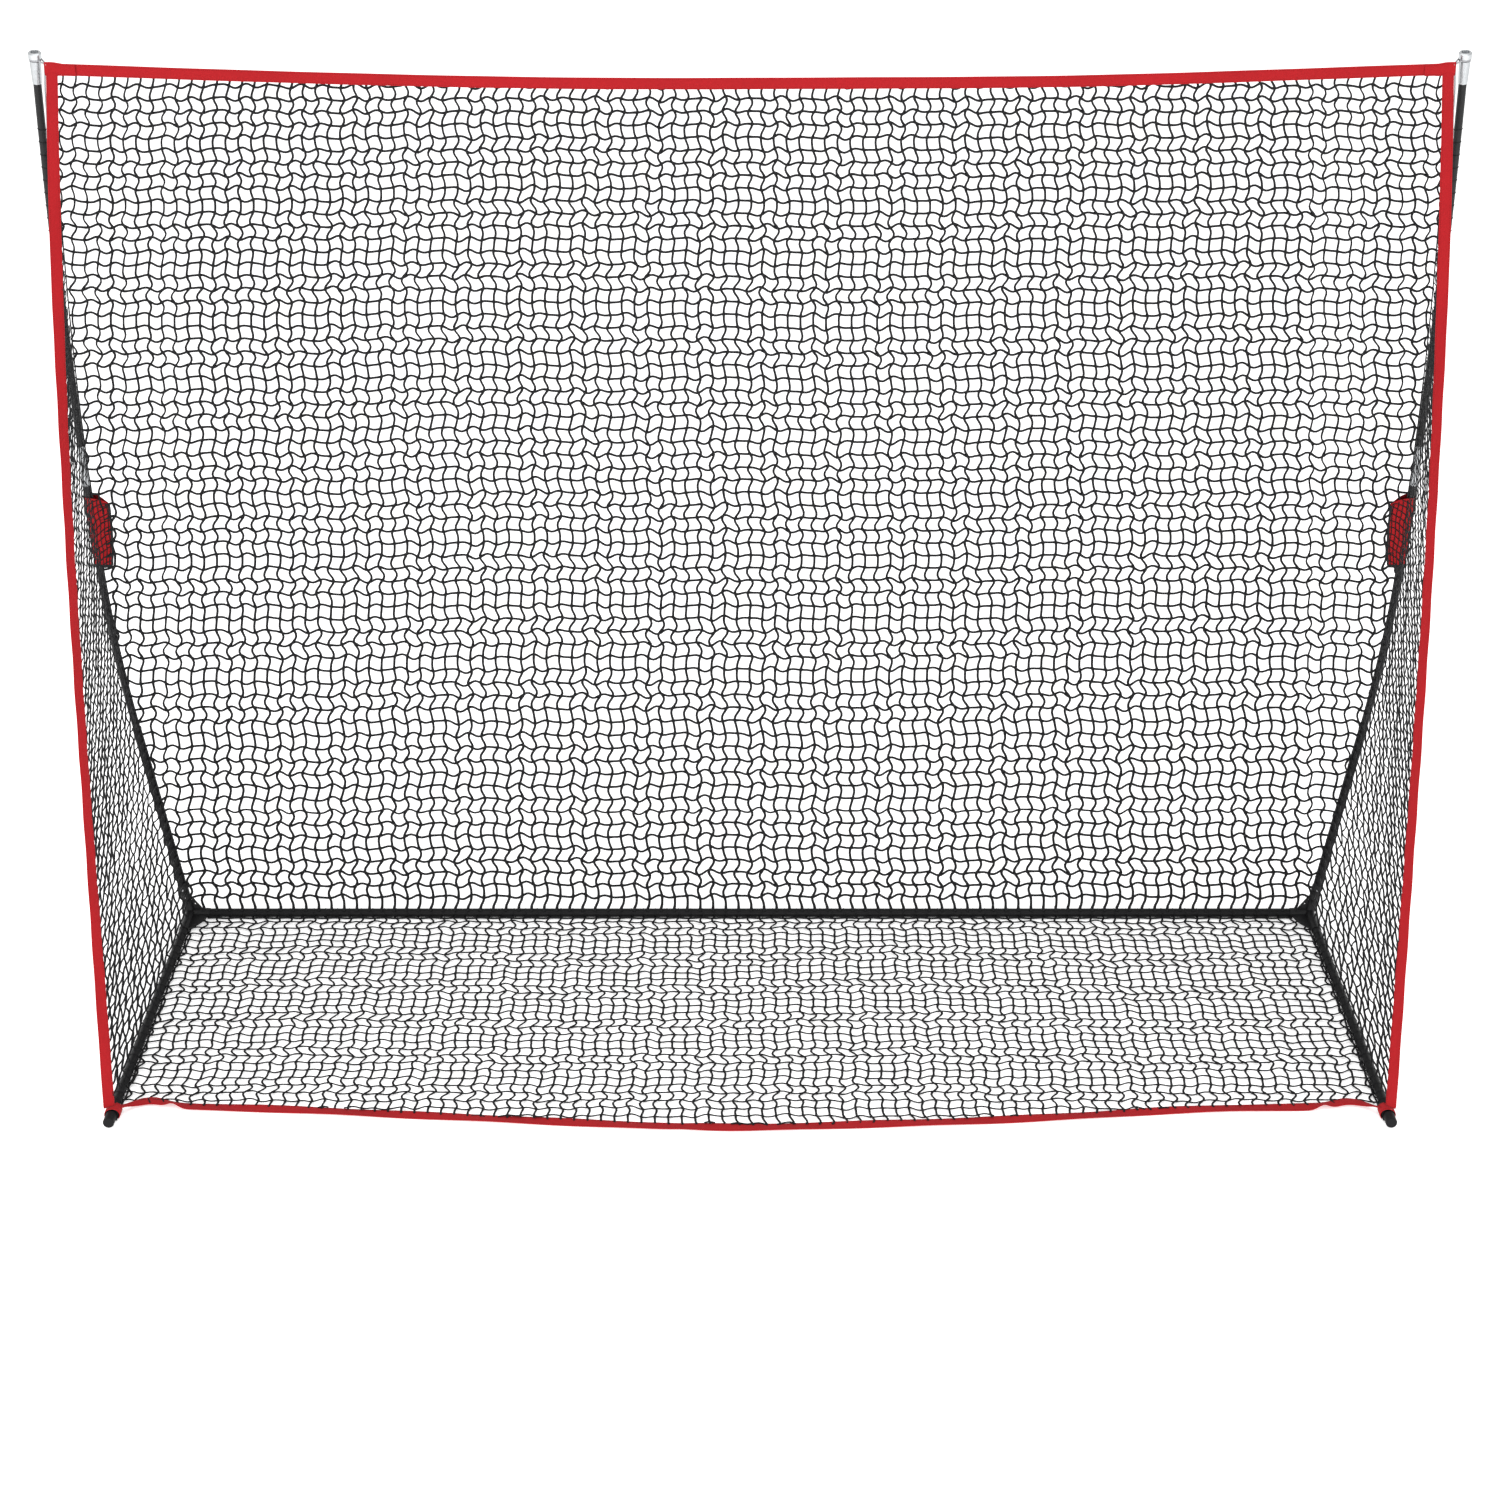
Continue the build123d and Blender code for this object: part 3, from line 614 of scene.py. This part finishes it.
column_total = 56
row_total = sum(1 for height in row_heights if height < corner_height)
upright_paths = {"left": [], "middle": [], "right": []}
for column in range(-column_total, column_total + 1):
    points = []
    for step in range((row_total + 1) * STEPS):
        row = step / STEPS
        point = back_point(column + column_wave(row + 0.9 * sin(column * 0.12 + 0.5)), row)
        points.append((point, swell(row) * heft(point.z)))
    where = "left" if column < -MIDDLE_COLUMNS else "right" if column > MIDDLE_COLUMNS else "middle"
    foot = points[0][0]
    knot = Vector((foot.x, rear_y - bar_radius * 0.75, bar_height + bar_radius * 0.75))
    upright_paths[where] += clipped([(knot, points[0][1])] + points, inside_back, to_back_edge)
level_paths = {"lower": [], "middle": [], "upper": []}
for row in range(1, row_total + 1):
    where = "lower" if row < LOWER_ROWS else "middle" if row < MIDDLE_ROWS else "upper"
    level_paths[where] += row_to_seam(row)
for where, paths in upright_paths.items():
    replaced = ("net_back_panel",) if where == "middle" else ()
    strands(f"back_mesh_upright_{where}", paths, STRAND, mesh_twine, *replaced, slot="mesh")
for where, paths in level_paths.items():
    strands(f"back_mesh_level_{where}", paths, STRAND, mesh_twine, slot="mesh")


# ---------------------------------------------------------------- floor panel
FLOOR_X = 0.0298
FLOOR_Y = 0.0302
floor_lift = 0.0034
hem_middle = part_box("floor_hem")[0].y + tape_width / 2
hem_bow = 0.0575


def hem_y(x):
    """Middle line of the hem."""
    return hem_middle + hem_bow * (abs(x) / 0.87) ** 1.4 * (1 - 0.22 * ease((abs(x) - 0.9) / 0.5))


def floor_column_wave(row):
    """Sideways wave of the strands that run forward, in meshes."""
    return wander(row, 2.3, (2.05, 0.15), (1.45, 0.09), (3.6, 0.06), (9.0, 0.08))


def floor_row_wave(column):
    """Forward wave of the strands that run across, in meshes."""
    return wander(column, 0.7, (1.9, 0.10), (2.9, 0.08), (1.3, 0.03), (12.0, 0.04))


def floor_point(column, row):
    x = column * FLOOR_X
    y = rear_y - 0.006 - row * FLOOR_Y
    ripple = 0.0016 * (1 + sin(x * 31 + y * 17)) + 0.0012 * (1 + sin(x * 13 - y * 41))
    return Vector((x, y, floor_lift + ripple))


def inside_floor(point):
    return abs(point.x) < side_x - bar_radius * 0.6 and point.y > hem_y(point.x) + 0.008


def to_floor_edge(point):
    reach = side_x - bar_radius * 0.5
    x = min(max(point.x, -reach), reach)
    return Vector((x, max(point.y, hem_y(x) + 0.004), point.z))


floor_rows = 31
floor_columns = 48
FLOOR_STRAND = 0.0023
paths = []
for column in range(-floor_columns, floor_columns + 1):
    points = []
    for step in range(floor_rows * STEPS):
        row = step / STEPS
        wave = floor_column_wave(row + 0.7 * sin(column * 0.14))
        points.append((floor_point(column + wave, row), swell(row)))
    paths += clipped(points, inside_floor, to_floor_edge)
strands("floor_mesh_lengthways", paths, FLOOR_STRAND * 1.12, mesh_twine, "net_floor_panel", slot="mesh")
paths = []
for row in range(1, floor_rows):
    points = []
    for step in range(-floor_columns * STEPS, floor_columns * STEPS + 1):
        column = step / STEPS
        wave = floor_row_wave(column + 0.7 * sin(row * 0.3))
        points.append((floor_point(column, row + wave), swell(column)))
    paths += clipped(points, inside_floor, to_floor_edge)
strands("floor_mesh_crossways", paths, FLOOR_STRAND * 0.88, mesh_twine, slot="mesh")


# ---------------------------------------------------------------- side panels
pouch_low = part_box("pole_pouch_right")[0].z
pouch_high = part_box("pole_pouch_right")[1].z
SIDE_ROW = 0.0225
SIDE_COLUMN = 0.050
SIDE_STRAND = 0.0017
SIDE_COLUMNS = 18


def side_edge(side, height):
    """Where a side panel's mesh meets its tape."""
    part = share(height)
    turn = tape_turn(side, part)
    middle = tape_point(height)
    return middle + Vector((-cos(turn), sin(turn), 0)) * (tape_width / 2 - 0.002)


def side_depth(side, height):
    """Distance from the seam to the side tape."""
    return (side_edge(side, height) - seam_point(height)).length


def side_net_point(side, column, row, low):
    """A point of a side panel: columns count forward from the seam, rows up from the side bar."""
    height = min(low + row * SIDE_ROW, corner_height)
    seam = seam_point(height)
    run = side_edge(side, height) - seam
    length = max(run.length, 1e-6)
    distance = min(max(column * SIDE_COLUMN + 0.012, 0.0), length)
    part = distance / length
    point = seam + run * part
    hold = min(1.0, distance / 0.03, (length - distance) / 0.02, row / 1.5 + 0.1)
    pucker = 0.0017 * cos(pi * column) * cos(pi * row)
    drift = 0.0007 * sin(column * 1.3 + row * 0.35) + 0.0004 * sin(column * 2.9 - row * 0.9)
    point.x += (pucker + drift) * max(hold, 0.0) + 0.003 * 4 * part * (1 - part) * sin(height * 5.0)
    point.z = height
    point.x *= side
    return point


def side_thickness(height, distance):
    """The twine is thickest low down, where the mesh is slack, and finest beside the upper pole."""
    beside_pole = 0.35 * max(1 - distance / 0.18, 0.0) if height > pouch_low else 0.0
    return max(1.42 - 1.2 * share(height), 0.80) * (1 - beside_pole)


for side, word in SIDES:
    paths = []
    low = bar_height + bar_radius + 0.004
    rows = int((corner_height - low) / SIDE_ROW)
    for row in range(1, rows):
        height = low + row * SIDE_ROW
        reach = side_depth(side, height) - 0.012
        count = max(int(reach / SIDE_COLUMN * STEPS), 3)
        points = []
        beside_pouch = pouch_low - 0.01 < height < pouch_high + 0.01
        for step in range(-1, count + 1):
            column = reach / SIDE_COLUMN * step / count
            if beside_pouch and column * SIDE_COLUMN < 0.05:
                continue
            wave = wander(column, 0.9 + side, (1.7, 0.10), (2.6, 0.08))
            fade = min(1.0, max(step, 0) / 3, (count - step) / 3)
            place = side_net_point(side, column, row + wave * fade, low)
            points.append((place, side_thickness(height, column * SIDE_COLUMN) * swell(column)))
        paths.append(points)
    for column in range(1, SIDE_COLUMNS + 1):
        points = []
        for step in range(rows * STEPS):
            row = step / STEPS
            height = low + row * SIDE_ROW
            if side_depth(side, height) < column * SIDE_COLUMN + 0.016:
                break
            wave = wander(row, 1.3 - side, (1.9, 0.09), (1.3, 0.06), (2.9, 0.06))
            place = side_net_point(side, column + wave, row, low)
            points.append((place, side_thickness(height, column * SIDE_COLUMN) * swell(row)))
        if len(points) > 3:
            paths.append(points)
    strands(f"side_mesh_{word}", paths, SIDE_STRAND, mesh_twine, f"net_side_panel_{word}", slot="mesh")

# ---------------------------------------------------------------- seam ropes and lacing
for side, word in SIDES:
    seam = []
    for step in range(216):
        height = 0.034 + 0.01 * step
        if height > corner_height - 0.02:
            break
        point = seam_point(height)
        seam.append((Vector((side * point.x, point.y, point.z)), 1.0))
    strands(f"seam_rope_{word}", [seam], 0.0017, seam_rope, sides=1, slot="mesh")
    floor_seam = []
    for step in range(86):
        y = rear_y - 0.03 - step * 0.0102
        inset = side_x - bar_radius - 0.0018 + 0.0012 * sin(step * 0.9)
        floor_seam.append((Vector((side * inset, y, 0.006)), 1.0))
    strands(f"floor_seam_rope_{word}", [floor_seam], 0.0024, seam_rope, sides=1, slot="mesh")

rear_seam = []
for step in range(281):
    x = -1.372 + 0.0098 * step
    rear_seam.append((Vector((x, rear_y - bar_radius - 0.0016, 0.0045 + 0.001 * sin(step))), 1.0))
strands("rear_seam_rope", [rear_seam], 0.0024, seam_rope, sides=1, slot="mesh")


def lacing_ring(centre, along, radius, lead, reach):
    """One turn of lacing round a tube, pulled out on one side to catch the seam rope."""
    along = along.normalized()
    first = lead - along * lead.dot(along)
    first.normalize()
    second = along.cross(first)
    ring = []
    for step in range(10):
        angle = 2 * pi * step / 10
        pull = radius + reach * max(cos(angle), 0.0) ** 3
        ring.append((centre + first * cos(angle) * pull + second * sin(angle) * radius
                     + along * 0.002 * sin(angle), 1.0))
    return ring


for side, word in SIDES:
    rings = []
    height = 0.105
    while height < 2.06:
        beside_bushing = 0.43 < height < 0.52
        behind_pouch = 0.88 < height < 1.25
        if not (beside_bushing or behind_pouch):
            centre = axis_at(height)
            ahead = axis_at(height + 0.01) - centre
            radius = (bar_radius if height < 0.47 else pole_radius) + 0.0008
            inward = Vector((-0.8, -0.6, 0))
            ring = lacing_ring(centre, ahead, radius, inward, 0.002)
            rings.append([(Vector((side * p.x, p.y, p.z)), w) for p, w in ring])
        height += row_pitch(height)
    y = rear_y - 0.115
    while y > front_y + 0.075:
        centre = Vector((side * side_x, y, bar_height))
        lead = Vector((-side, 0, -0.3))
        rings.append(lacing_ring(centre, Vector((0, 1, 0)), bar_radius + 0.0006, lead, 0.001))
        y -= FLOOR_Y
    strands(f"lacing_{word}", rings, 0.0008, mesh_twine, slot="mesh", closed=True)
rings = []
for index in range(-44, 45):
    x = index * FLOOR_X
    if abs(abs(x) - 0.506) > 0.012 and abs(x) > 0.012:
        centre = Vector((x, rear_y, bar_height))
        lead = Vector((0, -1, 0.2))
        rings.append(lacing_ring(centre, Vector((1, 0, 0)), bar_radius + 0.0006, lead, 0.001))
strands("lacing_rear", rings, 0.0008, mesh_twine, slot="mesh", closed=True)

# ---------------------------------------------------------------- tapes
top_end = tape_top.x - 0.006


def top_tape_place(along, across):
    x = (along - 0.5) * 2 * top_end
    part = abs(x) / tape_top.x
    height = corner_height - top_sag * (1 - part * part)
    crown = 0.0006 * sin(pi * across)
    y = tape_top.y - crown + 0.0012 * sin(x * 7.0) + 0.0007 * sin(x * 23.0 + across * 2)
    sway = 0.0008 * sin(x * 5.0 + 1.0)
    return Vector((x, y, height + (across - 0.5) * tape_width + sway))


length = 2 * top_end
ribbon("top_webbing", length, tape_width, 220, 6, top_tape_place, 0.0022, red_tape, "top_tape",
       slot="red_webbing")

for side, word in SIDES:
    length = (tape_top - tape_foot).length + 0.03

    def side_tape_place(along, across, side=side):
        height = foot_height - 0.006 + along * (corner_height + tape_width / 2 - foot_height + 0.006)
        part = share(height)
        turn = tape_turn(side, part)
        middle = tape_point(height)
        direction = Vector((-cos(turn), sin(turn), 0))
        normal = Vector((sin(turn), cos(turn), 0))
        ripple = 0.0012 * sin(height * 21.0 + side) * sin(pi * across) + 0.0008 * sin(height * 47.0)
        point = middle + direction * ((across - 0.5) * tape_width) - normal * (ripple + 0.0004)
        return Vector((side * point.x, point.y, height))

    ribbon(f"side_webbing_{word}", length, tape_width, 180, 6, side_tape_place, 0.0022, red_tape,
           f"side_tape_{word}", slot="red_webbing")

    def corner_fold_place(along, across, side=side):
        """The top tape's end, folded over the side tape and sewn down."""
        x = tape_top.x - 0.052 + along * 0.068
        part = abs(x) / tape_top.x
        height = corner_height - top_sag * (1 - min(part, 1.0) ** 2)
        rise = 0.0045 * ease((along - 0.25) / 0.5)
        y = tape_top.y - 0.0038 - 0.0006 * sin(pi * across)
        return Vector((side * x, y, height + (across - 0.5) * tape_width + rise * (across - 0.2)))

    ribbon(f"corner_fold_{word}", 0.068, tape_width, 14, 6, corner_fold_place, 0.0016, red_tape,
           slot="red_webbing")

# ---------------------------------------------------------------- floor hem
hem_end = side_x - 0.012
hem_width = 0.0275
hem_lift = 0.0137


def hem_lean(x):
    """How far the hem stands on edge: it lies flat, with one twist near each end."""
    centre = 1.281 if x > 0 else 1.290
    lean = 0.50 * exp(-((abs(x) - centre) / 0.017) ** 2)
    return lean + 0.30 * exp(-((abs(x) - 1.392) / 0.014) ** 2)


def hem_place(along, across):
    """The hem lies loose on the ground, with one hump near each end, and rises to the side bars."""
    x = (along - 0.5) * 2 * hem_end
    lean = hem_lean(x)
    offset = (across - 0.5) * hem_width
    crease = 0.0016 * exp(-((x + 0.13) / 0.05) ** 2) * (1 - across)
    wave = 0.0011 * (1 + sin(x * 19.0 + across * 3)) + crease
    hump = exp(-((abs(x) - 1.338) / 0.040) ** 2)
    end = ease((abs(x) - (hem_end - 0.040)) / 0.040)
    narrow = 1 - 0.25 * end
    y = hem_y(x) + 0.012 * hump + offset * cos(lean) * narrow + 0.0015 * sin(x * 8.0)
    y += 0.003 * exp(-((x + 0.15) / 0.03) ** 2) * (0.5 - across)
    y += (front_y + 0.050 - hem_y(hem_end)) * end
    z = 0.0022 + wave + (0.5 - across) * hem_width * sin(lean) + hem_lift * sin(lean)
    z += 0.004 * hump + 0.014 * end
    return Vector((x, y, z))


ribbon("hem_webbing", 2 * hem_end, tape_width, 320, 6, hem_place, 0.0022, red_tape, "floor_hem",
       slot="red_webbing")

for side, word in SIDES:
    def foot_fold_place(along, across, side=side):
        """Red webbing wrapped over the side bar, where the hem's end meets the side tape's foot."""
        angle = radians(-35 + 250 * along)
        reach = bar_radius + 0.0048 + 0.0012 * sin(along * 9)
        inward = cos(angle)
        x = side_x - inward * reach - 0.0015
        z = bar_height + sin(angle) * reach
        y = front_y + 0.030 + across * 0.028 + 0.010 * along * (1 - along)
        return Vector((side * x, y, max(z, 0.0016)))

    ribbon(f"foot_fold_{word}", 0.068, tape_width, 28, 6, foot_fold_place, 0.0020, red_tape,
           slot="red_webbing")

# ---------------------------------------------------------------- pouches
pouch_reach = 0.041
pouch_radius = pole_radius + 0.0028
pouch_round_start = 0.002


def pouch_outline(turn):
    """Once round the pouch, seen along the pole: (inward, forward) from the pole's axis.

    The front takes 0.36 of the outline, the round round the pole 0.28 and the back 0.36.
    """
    if turn < 0.36:
        part = turn / 0.36
        inward = pouch_reach - (pouch_reach - pouch_round_start) * part
        return inward, pouch_radius * (0.25 + 0.75 * ease(part * 1.15))
    if turn > 0.64:
        part = (1 - turn) / 0.36
        inward = pouch_reach - (pouch_reach - pouch_round_start) * part
        return inward, -pouch_radius * (0.12 + 0.88 * ease(part * 1.15))
    part = (turn - 0.36) / 0.28
    angle = pi / 2 + pi * part
    return pouch_round_start + (pouch_radius + 0.0006) * cos(angle) * 1.05, pouch_radius * sin(angle)


def pouch_frame(height):
    """The pole's axis at a height, and the inward and forward directions square to it."""
    axis = axis_at(height)
    up = (axis_at(height + 0.01) - axis_at(height - 0.01)).normalized()
    inward = Vector((-1, -0.12, 0))
    inward -= up * inward.dot(up)
    inward.normalize()
    forward = Vector((0, -1, 0))
    forward -= up * forward.dot(up) + inward * forward.dot(inward)
    forward.normalize()
    return axis, inward, forward


for side, word in SIDES:
    def pouch_place(along, across, side=side, swell_out=0.0):
        """A point of the pouch: along its height, and once round it from its inner edge."""
        height = pouch_low + 0.004 + along * (pouch_high - pouch_low - 0.008)
        inward_offset, forward_offset = pouch_outline(across)
        shoulder = max(inward_offset, 0.0) / pouch_reach
        height -= 0.020 * ease((along - 0.86) / 0.14) * shoulder ** 2
        height -= 0.004 * (1 - along) * shoulder
        axis, inward, forward = pouch_frame(height)
        pucker = 0.0011 * sin(along * 17 + across * 6) + 0.0009 * sin(along * 31 - across * 11)
        narrow = (0.034 + 0.016 * along + 0.005 * sin(pi * along)) / pouch_reach
        point = axis + inward * inward_offset * (narrow if inward_offset > 0 else 1)
        fullness = pucker + swell_out
        point += forward * (forward_offset + (fullness if forward_offset > 0 else -fullness))
        point.x *= side
        return point

    ribbon(f"pouch_{word}", pouch_length, 0.12, 40, 40, pouch_place, 0.0013, red_canvas,
           f"pole_pouch_{word}", slot="red_pouch")

    def inner_painted_shade_place(along, across, side=side):
        """Painted shade of the pouch's fold: a black strip folded over the pouch's inner edge."""
        up = 0.02 + along * 0.90
        half = (across - 0.5) * 0.075
        point = pouch_place(up, half % 1.0, side)
        proud = 0.0012
        point.y += -proud if half > 0 else proud
        point.x -= side * proud
        return point

    ribbon(f"pouch_edge_painted_shade_{word}", 0.17, 0.016, 36, 8, inner_painted_shade_place, 0.0012, black_painted_shade,
           slot="black_elastic")

    def end_painted_shade_place(along, across, side=side):
        """Painted shade of the pouch's fold at its foot: a black strip round the pouch's open lower end.
        """
        return pouch_place(across * 0.05 - 0.012, along % 1.0, side, 0.0011)

    ribbon(f"pouch_end_painted_shade_{word}", 0.12, painted_shade_width, 48, 3, end_painted_shade_place, 0.0012,
           black_painted_shade, slot="black_elastic")

    # The net's strands, crowded together over the front of the pouch.
    over = []
    for index in range(6):
        across = 0.05 + 0.38 * index / 5
        line = []
        for step in range(45):
            up = 0.01 + 0.97 * step / 44
            shift = 0.010 * sin(up * 14 + index * 0.8)
            line.append((pouch_place(up, across + shift, side, 0.0016), swell(up * 16)))
        over.append(line)
    for index in range(13):
        line = []
        for step in range(22):
            part = step / 21
            across = 0.03 + 0.45 * part
            up = 1.06 - index * 0.096 - 0.26 * part ** 1.4 + 0.006 * sin(part * 12 + index)
            if 0.0 < up < 1.0:
                line.append((pouch_place(up, across, side, 0.0018), swell(part * 7)))
        if len(line) > 3:
            over.append(line)
    strands(f"pouch_mesh_{word}", over, 0.0011, mesh_twine, slot="mesh")

# ---------------------------------------------------------------- elastic loops at the tips
for side, word in SIDES:
    tip_low, tip_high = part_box(f"tip_ferrule_{word}")
    groove = slice_centre([f"tip_ferrule_{word}"], tip_high.z - 0.0042)
    low_centre = slice_centre([f"tip_ferrule_{word}"], tip_low.z + 0.012)
    up = (groove - low_centre).normalized()
    outward = Vector((side, 0, 0))
    outward -= up * outward.dot(up)
    outward.normalize()
    front = outward.cross(up)
    if front.y > 0:
        front = -front
    radius = 0.0128
    anchor = Vector((side * (tape_top.x + 0.010), tape_top.y - 0.003, corner_height + 0.010))
    ring = []
    for step in range(25):
        angle = radians(-128 + 256 * step / 24)
        ring.append((groove + outward * cos(angle) * radius + front * sin(angle) * radius, 1.0))
    first, last = ring[0][0], ring[-1][0]
    lead_in = [(anchor + Vector((0, 0.004, -0.002)), 1.0), (anchor + (first - anchor) * 0.5, 1.0)]
    lead_out = [(last + (anchor - last) * 0.5, 1.0), (anchor + Vector((0, -0.001, 0)), 1.0)]
    strands(f"tip_elastic_{word}", [lead_in + ring + lead_out], 0.0019, silver_elastic,
            f"top_loop_{word}", sides=2, slot="silver_elastic")
    tail = []
    for step in range(30):
        part = step / 29
        height = corner_height + 0.008 - 0.150 * part
        middle = tape_point(height)
        x = middle.x + tape_width / 2 + 0.0022 + 0.0012 * sin(part * 6)
        tail.append((Vector((side * x, middle.y + 0.002 + 0.006 * part, height)), 1.0 - 0.25 * part))
    strands(f"elastic_tail_{word}", [tail], 0.0021, silver_elastic, sides=2, slot="silver_elastic")

# ---------------------------------------------------------------- black loops that hold the front corners
for side, word in SIDES:
    low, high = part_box(f"bottom_loop_{word}")
    middle_y = (low.y + high.y) / 2
    reach = bar_radius + 0.0018
    turns = []
    for turn in range(4):
        y = middle_y + (turn - 1.5) * 0.0036
        ring = []
        for step in range(20):
            angle = 2 * pi * step / 20
            x = side_x - cos(angle) * reach
            z = max(bar_height + sin(angle) * reach, 0.0015)
            ring.append((Vector((side * x, y + 0.001 * sin(angle), z)), 1.0))
        turns.append(ring)
    strands(f"corner_elastic_{word}", turns, 0.0013, black_elastic, f"bottom_loop_{word}", sides=1,
            closed=True, slot="black_elastic")

# ---------------------------------------------------------------- stage, lights and camera
floor_mesh = bmesh.new()
bmesh.ops.create_grid(floor_mesh, x_segments=1, y_segments=1, size=40.0)
mesh = bpy.data.meshes.new("studio_floor")
floor_mesh.to_mesh(mesh)
floor_mesh.free()
floor = new_piece("studio_floor", mesh)
pale = Finish("studio_paper", (0.95, 0.95, 0.95), 0.9, specular=0.1)
pale.shader.inputs["Emission Color"].default_value = (1.0, 1.0, 1.0, 1.0)
pale.shader.inputs["Emission Strength"].default_value = 0.45
floor.data.materials.append(pale.material)
floor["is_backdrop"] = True

world = bpy.data.worlds.new("studio_sky")
world.use_nodes = True
world.node_tree.nodes["Background"].inputs["Color"].default_value = (1.0, 1.0, 1.0, 1.0)
world.node_tree.nodes["Background"].inputs["Strength"].default_value = 1.0
bpy.context.scene.world = world


def softbox(name, place, aim, size, power):
    """A rectangular lamp at a place, turned to its aim."""
    data = bpy.data.lights.new(name, "AREA")
    data.shape = "RECTANGLE"
    data.size, data.size_y = size
    data.energy = power
    lamp = bpy.data.objects.new(name, data)
    lamp.location = place
    lamp.rotation_euler = (Vector(aim) - Vector(place)).to_track_quat("-Z", "Y").to_euler()
    bpy.context.scene.collection.objects.link(lamp)


softbox("overhead_softbox", (0.0, -1.0, 6.5), (0.0, 0.0, 0.5), (7.0, 6.0), 160.0)
softbox("left_softbox", (-5.5, -4.0, 3.2), (0.0, 0.0, 1.0), (3.0, 4.0), 130.0)
softbox("right_softbox", (5.0, -5.0, 2.6), (0.0, 0.0, 1.0), (2.5, 3.5), 110.0)
softbox("low_softbox", (0.0, -5.5, 0.9), (0.0, 0.0, 0.5), (5.0, 1.2), 90.0)

bpy.context.scene.view_settings.view_transform = "Standard"
camera_distance, camera_height, camera_tilt = 4.8201, 3.3439, 23.054
camera_data = bpy.data.cameras.new("camera")
camera_data.lens = 62.4
camera_data.sensor_width = 36.0
camera_data.shift_y = -8 / 75
camera_data.clip_end = 200.0
camera = bpy.data.objects.new("camera", camera_data)
camera.location = (0.0, front_y - camera_distance, camera_height)
camera.rotation_euler = (radians(90 - camera_tilt), 0.0, 0.0)
bpy.context.scene.collection.objects.link(camera)
bpy.context.scene.camera = camera

low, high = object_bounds()
